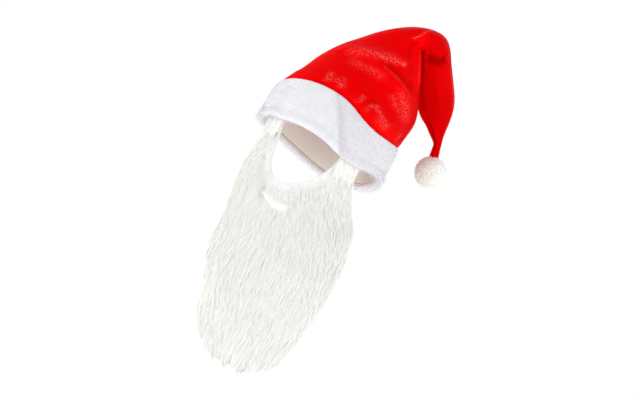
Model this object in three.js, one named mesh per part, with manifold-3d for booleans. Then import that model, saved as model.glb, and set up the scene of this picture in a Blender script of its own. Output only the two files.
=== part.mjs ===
// A red Santa hat with a white plush cuff, a fur pompom and a long white beard that hangs from the brim.
// Millimetres, +Z up. The origin is the middle of the brim, where a head fits, and the face looks along -Y.
import * as THREE from "three";
import { ParametricGeometry } from "three/addons/geometries/ParametricGeometry.js";
import { mergeVertices } from "three/addons/utils/BufferGeometryUtils.js";
import Module from "manifold-3d";

const wasm = await Module();
wasm.setup();

// Driving dimensions
const HEAD_HALF_WIDTH = 79; // clear space inside the brim, middle to ear
const HEAD_HALF_DEPTH = 98; // clear space inside the brim, middle to forehead
const BRIM_PITCH = 11; // degrees, the brim rides higher over the forehead than at the nape
const GAP = 0.4; // clearance between neighbouring pieces
const CROWN_CLOTH = 2;
const LINING_CLOTH = 1.6;
const CUFF_PLUSH = 8; // folded plush, from the lining side to the outside
const CUFF_LIP = 5; // plush turned up inside the lower edge
const CROWN_TUCK = 8; // crown cloth sewn in behind the cuff's top edge
const BACKING_CLOTH = 2.5; // cloth behind the beard's fur
const BEARD_HALF_ARC = 60; // degrees of the face that the beard wraps, each side of the middle
const TAB_HEIGHT = 14; // top of each sideburn sewn inside the cuff
const TAB_FROM = 33; // degrees round from the face's middle
const TAB_TO = 55;
const POMPOM_CORE = 17; // radius of the packed middle
const POMPOM_REACH = 21; // radius at the tips of its tufts
const POMPOM_TUFTS = 24;

const RINGS_ROUND = 32; // sides of the crown, the cuff and the lining

const radians = THREE.MathUtils.degToRad;
const table = (columns, rows) =>
  rows.map((row) => Object.fromEntries(columns.map((name, i) => [name, row[i]])));

// Cuff: lift of its lower edge and its height, round the head from the nape past the right ear and the face
const CUFF = table(
  ["angle", "lift", "height"],
  [
    [-180, -4, 52],
    [-133, 5, 52],
    [-78, 3, 50],
    [-30, 2, 57],
    [-8, 2, 58],
    [12, -1, 58],
    [32, -7, 58],
    [48, -6, 55],
    [70, 2, 51],
    [95, 6, 49],
    [130, -3, 50],
    [180, -4, 52],
  ],
);

// Soft vertical hollows in the plush
const CUFF_DENTS = table(
  ["angle", "spread", "depth"],
  [
    [-140, 12, 2.5],
    [-95, 9, 2],
    [-42, 8, 2],
    [14, 7, 3],
    [52, 8, 2.5],
    [105, 10, 2.5],
    [160, 12, 2],
  ],
);

// Crown sections from the cuff to the tip: the two edges seen from the front, and the depth from front to back
const CROWN = table(
  ["left_x", "left_z", "right_x", "right_z", "middle_y", "half_depth", "pitch"],
  [
    [-76, 72, 84, 61, 13, 103, 11],
    [-67, 86, 86, 72, 16, 96, 11],
    [-58, 102, 88, 84, 19, 87, 10],
    [-47, 120, 87, 97, 22, 78, 9],
    [-36, 137, 82, 112, 25, 70, 8],
    [-24, 154, 74, 129, 29, 61, 6],
    [-8, 172, 65, 151, 34, 52, 4],
    [9, 187, 53.6, 175, 39, 45, 2],
    [26, 199, 52.5, 178, 43, 40, 0],
    [42, 206, 54, 179, 46, 37, 0],
    [57, 209, 55.5, 179, 48, 35, 0],
    [70, 207, 55.5, 178.5, 49, 34, 0],
    [80, 198, 55.3, 177.2, 50, 33, 0],
    [90, 182, 53.5, 174, 54, 31, 0],
    [101, 163, 57, 156, 73, 27, 0],
    [110, 147, 61, 136, 88, 24, 0],
    [116.5, 132, 70, 120, 87, 20, 0],
    [121, 114, 83, 106, 79, 16, 0],
    [124, 102, 96, 97, 71, 12, 0],
    [126, 93, 106, 89, 66, 9, 0],
    [128, 85, 116, 81, 63, 7.5, 0],
    [130, 78, 118, 74, 61, 6.5, 0],
    [134, 64, 120, 59, 60, 7, 0],
  ],
);
const CROWN_HOLLOW_ROWS = 19; // above these the neck is gathered cloth all through
const NECK_PLEATS = 6;
const NECK_PLEAT_DEPTH = 1.1;

// Folds in the crown: ridges and valleys from one place to another, as row of the sections and angle round them
const CROWN_FOLDS = table(
  ["row_from", "angle_from", "row_to", "angle_to", "spread", "height"],
  [
    [3.4, -40, 5.9, 34, 0.7, 4.5],
    [2.9, -14, 5.4, 56, 0.7, -4],
    [4.0, 20, 2.4, 68, 0.9, 5],
    [0.4, 58, 1.4, 38, 0.6, 2.5],
    [7.5, 0, 9.2, -60, 0.6, -3],
    [12.8, 6, 12.8, -50, 0.5, -3],
    [14.5, -10, 16.6, -24, 0.8, 2],
    [2.6, 150, 6.2, -160, 0.9, 4],
    [1.8, 115, 4.8, 165, 0.9, -4],
    [1.2, -105, 4.4, -135, 0.9, 4],
    [1.0, -70, 3.0, -95, 0.8, -3],
  ],
);
const FOLD_TURN = 15; // degrees round the crown that count as one row of its sections

// Beard sheet from the top of the cheeks to the tip of the fur: its middle, half its width and its depth
const BEARD = table(
  ["z", "middle_x", "half_width", "front_y", "edge_y"],
  [
    [20, 0, 60, -91, -52],
    [0, 0, 62, -95, -54],
    [-45, 5, 73, -103, -48],
    [-68, 12, 79, -107, -48],
    [-93, 17, 80, -111, -50],
    [-114, 21, 80, -113, -54],
    [-159, 23, 80, -114, -62],
    [-181, 26, 77, -113, -66],
    [-216, 31, 67, -111, -74],
    [-237, 32, 62, -110, -79],
    [-255, 34, 53, -108, -83],
    [-268, 37, 38, -106, -87],
    [-280, 40, 24, -104, -92],
    [-300, 44, 14, -103, -96],
  ],
);
const BACKING_TOP = 4;
const BACKING_FOOT = -272;

// Locks of the beard, a row for each tier, then the locks round the face one by one
const LOCKS = table(
  ["top_z", "count", "reach_u", "length", "width", "lift", "lean"],
  [
    [-64, 7, 0.97, 64, 26, 9, 0.04],
    [-104, 7, 0.97, 66, 29, 12, 0.05],
    [-144, 7, 0.95, 64, 29, 13, 0.05],
    [-182, 7, 0.94, 58, 26, 13, 0.05],
    [-212, 6, 0.92, 52, 27, 12, 0.05],
    [-240, 6, 0.92, 40, 23, 10, 0.04],
  ],
);
const FACE_LOCKS = table(
  ["u", "top_z", "length", "width", "lift", "lean"],
  [
    [-0.9, 2, 62, 18, 7, 0],
    [-0.68, 0, 62, 16, 6, 0],
    [-0.44, -40, 44, 16, 5, -0.05],
    [-0.2, -56, 18, 20, 4, -0.06],
    [0.06, -56, 18, 20, 4, 0.06],
    [0.3, -44, 30, 20, 4, 0.08],
    [0.52, -30, 48, 18, 5, 0.05],
    [0.7, -4, 60, 16, 6, 0],
    [0.9, -4, 62, 18, 7, 0],
  ],
);

// Outline of the eye and nose opening, seen from the front
const FACE_OPENING = table(
  ["x", "z"],
  [
    [-43, 40],
    [-42, 14],
    [-39, -8],
    [-33, -33],
    [-27, -45],
    [-18, -53],
    [-6, -54],
    [6, -50],
    [21, -36],
    [31, -22],
    [38, -8],
    [42, 8],
    [43, 40],
  ],
);

// Mouth slit: a shallow smile
const MOUTH = table(
  ["x", "upper_z", "lower_z"],
  [
    [-21, -73, -73.5],
    [-12, -75.6, -81],
    [0, -76.6, -83.4],
    [9, -76, -82],
    [16, -75, -76],
  ],
);

const POMPOM = { x: 132, y: 60, z: 46 };

const COLOURS = {
  crown: { color: 0xd9121c, roughness: 0.62, metalness: 0 },
  cuff: { color: 0xeeedf0, roughness: 0.95, metalness: 0 },
  inner_band: { color: 0xd0c0b5, roughness: 0.85, metalness: 0 },
  beard: { color: 0xeff0eb, roughness: 0.9, metalness: 0 },
  pompom: { color: 0xf1ece4, roughness: 0.95, metalness: 0 },
};

// Value of one column at a place along a table, curving smoothly through the rows
function along(rows, key, column, place) {
  const last = rows.length - 1;
  const rising = rows[last][key] > rows[0][key];
  const passed = (row) => (rising ? row[key] <= place : row[key] >= place);
  let i = 0;
  while (i < last - 1 && passed(rows[i + 1])) i += 1;
  const slope = (k) => {
    const before = rows[Math.max(0, k - 1)];
    const after = rows[Math.min(last, k + 1)];
    return (after[column] - before[column]) / (after[key] - before[key]);
  };
  const span = rows[i + 1][key] - rows[i][key];
  const t = THREE.MathUtils.clamp((place - rows[i][key]) / span, 0, 1);
  const start = rows[i][column] * (1 + 2 * t) * (1 - t) ** 2;
  const end = rows[i + 1][column] * (3 - 2 * t) * t * t;
  return start + end + slope(i) * span * t * (1 - t) ** 2 - slope(i + 1) * span * t * t * (1 - t);
}

// Surface on a grid of whole steps, closed where its edges meet; turned steps are cut along the other diagonal
function gridSurface(across, down, pointAt, turned = () => false) {
  const place = (u, v, target) => target.copy(pointAt(Math.round(u * across), Math.round(v * down)));
  const surface = new ParametricGeometry(place, across, down);
  const corners = [];
  for (let j = 0; j < down; j += 1) {
    for (let i = 0; i < across; i += 1) {
      const a = j * (across + 1) + i;
      const d = a + across + 1;
      corners.push(...(turned(j) ? [a, a + 1, d + 1, a, d + 1, d] : [a, a + 1, d, a + 1, d + 1, d]));
    }
  }
  surface.setIndex(corners);
  return closed(surface);
}

function closed(geometry) {
  geometry.deleteAttribute("normal");
  geometry.deleteAttribute("uv");
  const merged = mergeVertices(geometry, 1e-3);
  const kept = [];
  for (let i = 0; i < merged.index.count; i += 3) {
    const corners = [0, 1, 2].map((k) => merged.index.getX(i + k));
    if (new Set(corners).size === 3) kept.push(...corners);
  }
  merged.setIndex(kept);
  return merged;
}

function toSolid(geometry) {
  return new wasm.Manifold(
    new wasm.Mesh({
      numProp: 3,
      vertProperties: new Float32Array(geometry.attributes.position.array),
      triVerts: new Uint32Array(geometry.index.array),
    }),
  );
}

// The outer shell alone, without the pockets left between locks
function outerShell(solid) {
  return solid.decompose().reduce((best, next) => (next.volume() > best.volume() ? next : best));
}

function toGeometry(solid) {
  const mesh = solid.getMesh();
  const geometry = new THREE.BufferGeometry();
  geometry.setAttribute("position", new THREE.BufferAttribute(new Float32Array(mesh.vertProperties), 3));
  geometry.setIndex(new THREE.BufferAttribute(new Uint32Array(mesh.triVerts), 1));
  geometry.computeVertexNormals();
  return geometry;
}

const brimTurn = new THREE.Matrix4().makeRotationX(-radians(BRIM_PITCH));
const wrapAngle = (degrees) => THREE.MathUtils.euclideanModulo(degrees + 180, 360) - 180;
const cuffFoot = (degrees) => along(CUFF, "angle", "lift", wrapAngle(degrees));
const cuffTop = (degrees) => cuffFoot(degrees) + along(CUFF, "angle", "height", wrapAngle(degrees));
const roundAngle = (step) => (360 * (step % RINGS_ROUND)) / RINGS_ROUND - 180;

// Point on a ring round the head, at an angle from the face's middle, so far outside the head and so high
function brimPoint(degrees, outside, height) {
  const turn = radians(degrees);
  return new THREE.Vector3(
    (HEAD_HALF_WIDTH + outside) * Math.sin(turn),
    -(HEAD_HALF_DEPTH + outside) * Math.cos(turn),
    height,
  ).applyMatrix4(brimTurn);
}

function cuffDent(degrees) {
  let depth = 0;
  for (const dent of CUFF_DENTS) {
    const off = wrapAngle(degrees - dent.angle) / dent.spread;
    depth += dent.depth * Math.exp(-off * off);
  }
  return depth;
}

// Plush band: a soft bulging outside, a rolled lower edge and a lip turned up inside it
function cuffGeometry(grow) {
  const inside = LINING_CLOTH + GAP;
  const outside = inside + CUFF_PLUSH;
  const profile = table(
    ["out", "up", "share", "soft", "grow_out", "grow_up"],
    [
      [0, CUFF_LIP, 0, 0, -1, 1],
      [0.6, 3.5, 0, 0, -1, 0],
      [3.5, 0, 0, 0, -0.5, -1],
      [inside + 5, 0.4, 0, 0, 0.5, -1],
      [outside - 0.8, 5, 0, 0, 1, -0.5],
      [outside, 0, 0.28, 1, 1, 0],
      [outside, 0, 0.55, 1, 1, 0],
      [outside - 0.6, 0, 0.8, 1, 1, 0],
      [outside - 2.4, -1.2, 1, 0, 0.7, 1],
      [inside + 2.5, 0, 1, 0, -0.5, 1],
      [inside, -2, 1, 0, -1, 0.5],
      [inside, CUFF_LIP, 0, 0, -1, 1],
    ],
  );
  const pointAt = (i, j) => {
    const degrees = roundAngle(i);
    const row = profile[j % profile.length];
    const foot = cuffFoot(degrees);
    const height = cuffTop(degrees) - foot;
    const out = row.out - row.soft * cuffDent(degrees) + grow * row.grow_out;
    return brimPoint(degrees, out, foot + row.up + row.share * height + grow * row.grow_up);
  };
  return gridSurface(RINGS_ROUND, profile.length, pointAt);
}

// Facing: a thin band from the lip up to the crown cloth
function liningGeometry() {
  const profile = [
    { out: 0, low: 1 },
    { out: LINING_CLOTH, low: 1 },
    { out: LINING_CLOTH, low: 0 },
    { out: 0, low: 0 },
  ];
  const pointAt = (i, j) => {
    const degrees = roundAngle(i);
    const row = profile[j % profile.length];
    const low = cuffFoot(degrees) + CUFF_LIP + GAP;
    const high = cuffTop(degrees) - CROWN_TUCK - GAP;
    return brimPoint(degrees, row.out, row.low ? low : high);
  };
  return gridSurface(RINGS_ROUND, profile.length, pointAt);
}

function foldHeight(place, degrees) {
  let height = 0;
  for (const fold of CROWN_FOLDS) {
    const rows = fold.row_to - fold.row_from;
    const turn = wrapAngle(fold.angle_to - fold.angle_from) / FOLD_TURN;
    const off = wrapAngle(degrees - fold.angle_from) / FOLD_TURN;
    const t = THREE.MathUtils.clamp(
      ((place - fold.row_from) * rows + off * turn) / (rows * rows + turn * turn),
      0,
      1,
    );
    const far = Math.hypot(place - fold.row_from - t * rows, off - t * turn) / fold.spread;
    height += fold.height * Math.exp(-far * far);
  }
  return height;
}

// Point of the crown cloth at a place along the sections, with the wall's thickness taken off for the inside
function crownPoint(place, degrees, wall) {
  const rows = CROWN.map((row, index) => ({ ...row, index }));
  const at = (column) => along(rows, "index", column, place);
  const left = new THREE.Vector3(at("left_x"), 0, at("left_z"));
  const right = new THREE.Vector3(at("right_x"), 0, at("right_z"));
  const middle = left.clone().add(right).multiplyScalar(0.5);
  middle.y = at("middle_y");
  const across = right.clone().sub(left);
  const halfWidth = across.length() / 2;
  across.normalize();
  const tilt = radians(at("pitch"));
  const back = new THREE.Vector3(0, Math.cos(tilt), -Math.sin(tilt));
  const turn = radians(degrees);
  const gathered = THREE.MathUtils.smoothstep(place, 16.5, 20);
  const pleat = NECK_PLEAT_DEPTH * gathered * Math.cos(NECK_PLEATS * turn);
  const grow = foldHeight(place, degrees) + pleat - wall;
  return middle
    .addScaledVector(across, (halfWidth + grow) * Math.sin(turn))
    .addScaledVector(back, -(at("half_depth") + grow) * Math.cos(turn));
}

// Crown: from the inside of the tail down to the brim, then up the outside to the tip
function crownGeometry() {
  const last = CROWN.length - 1;
  const stations = [];
  stations.push({ place: CROWN_HOLLOW_ROWS, wall: CROWN_CLOTH, point: true });
  for (let place = CROWN_HOLLOW_ROWS; place > 0; place -= 1) {
    stations.push({ place, wall: CROWN_CLOTH });
  }
  stations.push({ place: 0, wall: CROWN_CLOTH });
  const inside = LINING_CLOTH - CROWN_CLOTH;
  stations.push({ out: inside + 2.5, above: 5 });
  stations.push({ out: inside, above: 0 });
  stations.push({ out: inside, above: -CROWN_TUCK });
  stations.push({ out: LINING_CLOTH, above: -CROWN_TUCK });
  stations.push({ out: LINING_CLOTH, above: 0.4 });
  stations.push({ out: LINING_CLOTH + 3.4, above: 4 });
  for (let place = 0; place < last; place += 1) stations.push({ place, wall: 0 });
  stations.push({ place: last, wall: 0 });
  stations.push({ place: last, wall: 0, point: true });
  const middleAt = (place) => crownPoint(place, 90, 0).add(crownPoint(place, -90, 0)).multiplyScalar(0.5);
  const pointAt = (i, j) => {
    const degrees = roundAngle(i);
    const row = stations[j];
    if (row.point) return middleAt(row.place);
    if (row.place !== undefined) return crownPoint(row.place, degrees, row.wall);
    return brimPoint(degrees, row.out, cuffTop(degrees) + row.above);
  };
  return gridSurface(RINGS_ROUND, stations.length - 1, pointAt, (j) => stations[j].wall > 0);
}

// Point of the beard's sheet, u across it from -1 to 1
function beardPoint(u, z) {
  const at = (column) => along(BEARD, "z", column, z);
  const arc = radians(BEARD_HALF_ARC);
  const front = (Math.cos(u * arc) - Math.cos(arc)) / (1 - Math.cos(arc));
  return new THREE.Vector3(
    at("middle_x") + (at("half_width") * Math.sin(u * arc)) / Math.sin(arc),
    at("edge_y") + (at("front_y") - at("edge_y")) * front,
    z,
  );
}

function beardNormal(u, z) {
  const across = beardPoint(u + 0.01, z).sub(beardPoint(u - 0.01, z));
  const up = beardPoint(u, z + 1).sub(beardPoint(u, z - 1));
  return across.cross(up).normalize();
}

function backingGeometry() {
  const across = 14;
  const steps = 18;
  const loop = 2 * across;
  const pointAt = (i, j) => {
    const step = THREE.MathUtils.clamp(j - 1, 0, steps);
    const z = BACKING_FOOT + ((BACKING_TOP - BACKING_FOOT) * step) / steps;
    const k = i % loop;
    const front = k <= across;
    const u = front ? (2 * k) / across - 1 : (2 * (loop - k)) / across - 1;
    const ends = j === 0 || j === steps + 2;
    const edges = k === 0 || k === across;
    const depth = ends || edges ? BACKING_CLOTH / 2 : front ? 0 : BACKING_CLOTH;
    return beardPoint(u, z).addScaledVector(beardNormal(u, z), -depth);
  };
  return gridSurface(loop, steps + 2, pointAt);
}

// One lock: rooted in the sheet, fullest below its root and drawn to a point
function lockGeometry(lock) {
  const sides = 5;
  const shape = table(
    ["along", "wide", "high"],
    [
      [0, 0.45, 0.1],
      [0.2, 0.85, 0.62],
      [0.48, 1, 1],
      [0.78, 0.7, 0.82],
    ],
  );
  const pointAt = (i, j) => {
    const row = shape[THREE.MathUtils.clamp(j - 1, 0, shape.length - 1)];
    const tip = j === shape.length + 1;
    const root = j === 0;
    const t = tip ? 1 : row.along;
    const u = lock.u + lock.lean * t;
    const z = lock.top_z - lock.length * t;
    const normal = beardNormal(u, z);
    const side = new THREE.Vector3(0, 0, 1).cross(normal).normalize();
    const point = beardPoint(u, z).addScaledVector(normal, tip ? lock.lift * 0.45 : -0.9);
    if (tip || root) return point;
    const turn = (2 * Math.PI * (i % sides)) / sides + Math.PI / 2;
    const rise = Math.max(0, Math.sin(turn) + 0.31) / 1.31;
    point.addScaledVector(side, (Math.cos(turn) * row.wide * lock.width) / 2);
    return point.addScaledVector(normal, rise * row.high * (lock.lift + 0.9));
  };
  return gridSurface(sides, shape.length + 1, pointAt);
}

function beardLocks() {
  const locks = [];
  LOCKS.forEach((tier, row) => {
    for (let k = 0; k < tier.count; k += 1) {
      const spread = tier.count - 1;
      const jog = Math.sin(2.4 * k + 1.7 * row);
      const middle = (2 * k - spread + (row % 2 ? 0.25 : -0.25)) / (spread + 0.6);
      locks.push({
        u: middle * tier.reach_u,
        top_z: tier.top_z + 6 * jog,
        length: tier.length * (1 + 0.12 * Math.sin(3.7 * k + row)),
        width: tier.width,
        lift: tier.lift * (1 + 0.15 * jog),
        lean: tier.lean * (0.4 + jog),
      });
    }
  });
  locks.push(...FACE_LOCKS);
  return locks;
}

// Top of a sideburn, flat against the facing
function tabGeometry(side) {
  const across = 6;
  const loop = 2 * across;
  const levels = [-16, -16, TAB_HEIGHT, TAB_HEIGHT];
  const outer = -2 * GAP;
  const pointAt = (i, j) => {
    const k = i % loop;
    const front = k <= across;
    const share = front ? k / across : (loop - k) / across;
    const span = TAB_FROM + (TAB_TO - TAB_FROM) * (side > 0 ? share : 1 - share);
    const degrees = side * span;
    const ends = j === 0 || j === levels.length - 1;
    const edges = k === 0 || k === across;
    const depth = ends || edges ? BACKING_CLOTH / 2 : front ? 0 : BACKING_CLOTH;
    return brimPoint(degrees, outer - depth, cuffFoot(degrees) + levels[j]);
  };
  return gridSurface(loop, levels.length - 1, pointAt);
}

// Prism along the view from the front, for an opening cut right through the beard
function frontCut(points, near, far) {
  const outline = new THREE.Shape(points);
  const prism = new THREE.ExtrudeGeometry(outline, { depth: far - near, bevelEnabled: false, curveSegments: 1 });
  prism.rotateX(Math.PI / 2);
  prism.translate(0, far, 0);
  return toSolid(closed(prism));
}

function beardGeometry() {
  const parts = [toSolid(backingGeometry()), toSolid(tabGeometry(-1)), toSolid(tabGeometry(1))];
  for (const lock of beardLocks()) parts.push(toSolid(lockGeometry(lock)));
  const whole = wasm.Manifold.union(parts);
  const face = frontCut(FACE_OPENING.map((row) => new THREE.Vector2(row.x, row.z)), -150, -40);
  const upper = MOUTH.map((row) => new THREE.Vector2(row.x, row.upper_z));
  const lower = MOUTH.map((row) => new THREE.Vector2(row.x, row.lower_z)).reverse();
  const mouth = frontCut([...upper, ...lower].reverse(), -150, -60);
  const cuffRoom = toSolid(cuffGeometry(GAP));
  return toGeometry(outerShell(whole.subtract(face).subtract(mouth).subtract(cuffRoom)));
}

// Pompom: tufts all round a packed middle, with a hollow where the gathered neck goes in
function pompomGeometry() {
  const parts = [toSolid(closed(new THREE.IcosahedronGeometry(POMPOM_CORE, 1)))];
  const golden = Math.PI * (3 - Math.sqrt(5));
  for (let k = 0; k < POMPOM_TUFTS; k += 1) {
    const height = 1 - (2 * k + 1) / POMPOM_TUFTS;
    const ring = Math.sqrt(1 - height * height);
    const direction = new THREE.Vector3(ring * Math.cos(k * golden), ring * Math.sin(k * golden), height);
    const reach = POMPOM_REACH * (0.94 + 0.06 * Math.sin(5.3 * k));
    const root = POMPOM_CORE * 0.72;
    const tuft = new THREE.CylinderGeometry(2.8, 8, reach - root, 5, 1);
    tuft.translate(0, (reach + root) / 2, 0);
    const turn = new THREE.Quaternion().setFromUnitVectors(new THREE.Vector3(0, 1, 0), direction);
    tuft.applyQuaternion(turn);
    parts.push(toSolid(closed(tuft)));
  }
  const last = CROWN.length - 1;
  const neckPoint = (i, j) => {
    const degrees = roundAngle(i);
    const place = last - 2 + j;
    if (j === 0 || j === 4) {
      const end = Math.min(last, Math.max(place, last - 1));
      const middle = crownPoint(end, 90, 0).add(crownPoint(end, -90, 0)).multiplyScalar(0.5);
      return middle.addScaledVector(new THREE.Vector3(0.25, 0, -1), j === 4 ? GAP : 0);
    }
    const point = crownPoint(Math.min(last, place), degrees, -GAP);
    if (j === 3) point.addScaledVector(new THREE.Vector3(0.25, 0, -1), GAP);
    return point;
  };
  const ball = wasm.Manifold.union(parts).translate([POMPOM.x, POMPOM.y, POMPOM.z]);
  return toGeometry(outerShell(ball.subtract(toSolid(gridSurface(RINGS_ROUND, 4, neckPoint)))));
}

function piece(name, geometry) {
  const mesh = new THREE.Mesh(geometry, new THREE.MeshStandardMaterial({ name, ...COLOURS[name] }));
  mesh.name = name;
  return mesh;
}

const hat = new THREE.Group();
hat.name = "santa_hat_with_beard";
hat.add(piece("crown", toGeometry(toSolid(crownGeometry()))));
hat.add(piece("cuff", toGeometry(toSolid(cuffGeometry(0)))));
hat.add(piece("inner_band", toGeometry(toSolid(liningGeometry()))));
hat.add(piece("beard", beardGeometry()));
hat.add(piece("pompom", pompomGeometry()));

export default hat;
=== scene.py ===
"""A red velour Santa hat with a white plush cuff, a fur pompom and a white fur beard hung from the brim."""
import math

import bmesh
import bpy
import numpy as np
from mathutils import Matrix, Vector
from mathutils.geometry import delaunay_2d_cdt


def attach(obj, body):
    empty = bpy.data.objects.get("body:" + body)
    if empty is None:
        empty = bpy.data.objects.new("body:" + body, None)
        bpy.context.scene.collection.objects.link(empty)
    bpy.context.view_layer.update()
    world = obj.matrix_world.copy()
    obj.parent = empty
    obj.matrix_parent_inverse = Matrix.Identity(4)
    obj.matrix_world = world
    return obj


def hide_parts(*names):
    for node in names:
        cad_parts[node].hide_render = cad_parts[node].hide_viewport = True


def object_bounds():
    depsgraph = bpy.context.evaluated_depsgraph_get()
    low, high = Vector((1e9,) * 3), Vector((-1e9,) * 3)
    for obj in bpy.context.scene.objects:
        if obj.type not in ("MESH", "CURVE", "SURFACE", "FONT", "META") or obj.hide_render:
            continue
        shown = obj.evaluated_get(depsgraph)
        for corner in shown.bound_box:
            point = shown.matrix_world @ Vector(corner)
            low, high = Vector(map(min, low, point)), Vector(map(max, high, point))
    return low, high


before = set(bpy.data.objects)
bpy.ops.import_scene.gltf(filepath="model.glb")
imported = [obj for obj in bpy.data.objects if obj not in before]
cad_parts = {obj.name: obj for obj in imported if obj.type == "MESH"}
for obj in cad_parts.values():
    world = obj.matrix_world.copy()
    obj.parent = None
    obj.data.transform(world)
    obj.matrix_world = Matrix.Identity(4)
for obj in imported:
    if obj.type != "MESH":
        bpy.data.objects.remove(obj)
cad_low, cad_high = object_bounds()

# Studio: a white floor in a white room, with soft lamps in front, at both sides and behind. The camera is
# level with the brim and 10 degrees round from the hat's front, and it is rolled so that the hat leans.
VIEW_TURN = math.radians(10)
HAT_LEAN = math.radians(27.5)
CAMERA_AWAY = 2.6
PICTURE_WIDTH = 0.8128  # metres across the picture where the hat is
AIM_RIGHT, AIM_UP = 0.0032, -0.0584  # the picture's middle, from the middle of the brim
SENSOR = 36.0
FLOOR_DROP = 0.16  # below the tip of the beard
FLOOR_HALF = 6.0

to_right = Vector((math.cos(VIEW_TURN), math.sin(VIEW_TURN), 0))
to_camera = Vector((math.sin(VIEW_TURN), -math.cos(VIEW_TURN), 0))
upright = Vector((0, 0, 1))
picture_right = to_right * math.cos(HAT_LEAN) + upright * math.sin(HAT_LEAN)
picture_up = upright * math.cos(HAT_LEAN) - to_right * math.sin(HAT_LEAN)
picture_middle = picture_right * AIM_RIGHT + picture_up * AIM_UP

camera = bpy.data.objects.new("camera", bpy.data.cameras.new("camera"))
camera.data.sensor_width = SENSOR
camera.data.lens = SENSOR * CAMERA_AWAY / PICTURE_WIDTH
back_from_aim = (to_camera * CAMERA_AWAY - picture_middle).normalized()
level_right = picture_up.cross(back_from_aim).normalized()
level_up = back_from_aim.cross(level_right)
camera.matrix_world = Matrix((level_right, level_up, back_from_aim)).transposed().to_4x4()
camera.location = to_camera * CAMERA_AWAY
bpy.context.collection.objects.link(camera)
bpy.context.scene.camera = camera
bpy.context.scene.view_settings.view_transform = "Standard"
bpy.context.scene.cycles.diffuse_bounces = 10

LAMPS = (  # name, picture right, picture up, towards the camera, width, watts
    ("key_lamp", -0.6, 1.1, 2.0, 1.1, 5.5),
    ("right_lamp", 1.7, -0.4, 1.2, 1.4, 8.5),
    ("left_lamp", -1.9, 0.85, 0.4, 1.4, 9.0),
    ("back_lamp", 0.9, 0.9, -1.7, 1.2, 4.0),
    ("back_left_lamp", -1.5, 0.9, -1.0, 1.4, 5.0),
    ("back_right_lamp", 1.6, -0.5, -0.9, 1.4, 5.0),
)
for name, right, up, towards, width, watts in LAMPS:
    lamp = bpy.data.objects.new(name, bpy.data.lights.new(name, "AREA"))
    lamp.data.shape = "DISK"
    lamp.data.size = width
    lamp.data.energy = watts
    place = picture_middle + picture_right * right + picture_up * up + to_camera * towards
    lamp.matrix_world = Matrix.LocRotScale(place, (picture_middle - place).to_track_quat("-Z", "Y"), None)
    bpy.context.collection.objects.link(lamp)


def add(tree, kind, inputs=(), **settings):
    """A new node with its settings made, and each named input set to a value or wired to an output."""
    node = tree.nodes.new(kind)
    for key, value in settings.items():
        setattr(node, key, value)
    for name, value in dict(inputs).items():
        in_use = (s for s in node.inputs if s.name == name and s.enabled)
        socket = node.inputs[name] if isinstance(name, int) else next(in_use)
        if isinstance(value, bpy.types.NodeSocket):
            tree.links.new(value, socket)
        else:
            socket.default_value = value
    return node


def out(node, name=None):
    """A node's output of that name, or its first one in use."""
    return next(s for s in node.outputs if s.enabled and name in (None, s.name))


room = bpy.data.worlds.new("white_room")
room.use_nodes = True
room.node_tree.nodes.clear()
lit = add(room.node_tree, "ShaderNodeBackground", {"Color": (0.97, 0.98, 1, 1), "Strength": 0.73})
seen = add(room.node_tree, "ShaderNodeBackground", {"Color": (1, 1, 1, 1), "Strength": 1.0})
sight = add(room.node_tree, "ShaderNodeLightPath")
by_sight = {0: out(sight, "Is Camera Ray"), 1: out(lit), 2: out(seen)}
room_mix = add(room.node_tree, "ShaderNodeMixShader", by_sight)
add(room.node_tree, "ShaderNodeOutputWorld", {"Surface": out(room_mix)})
bpy.context.scene.world = room


def new_material(name):
    """A material, its node tree and its Principled shader."""
    material = bpy.data.materials.new(name)
    material.use_nodes = True
    return material, material.node_tree, material.node_tree.nodes["Principled BSDF"]


def set_finish(shader, values):
    """Values that are the same all over a surface, set on its shader's own sockets."""
    for name, value in values.items():
        shader.inputs[name].default_value = value


floor_white, _, shader = new_material("floor_white")
set_finish(shader, {"Base Color": (0.92, 0.92, 0.92, 1), "Roughness": 0.9})
set_finish(shader, {"Emission Color": (1, 1, 1, 1), "Emission Strength": 0.42})
floor_mesh = bpy.data.meshes.new("floor")
floor_z = cad_low.z - FLOOR_DROP
corners = [(x * FLOOR_HALF, y * FLOOR_HALF, floor_z) for x, y in ((-1, -1), (1, -1), (1, 1), (-1, 1))]
floor_mesh.from_pydata(corners, [], [(0, 1, 2, 3)])
floor_mesh.materials.append(floor_white)
floor = bpy.data.objects.new("floor", floor_mesh)
bpy.context.collection.objects.link(floor)

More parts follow.
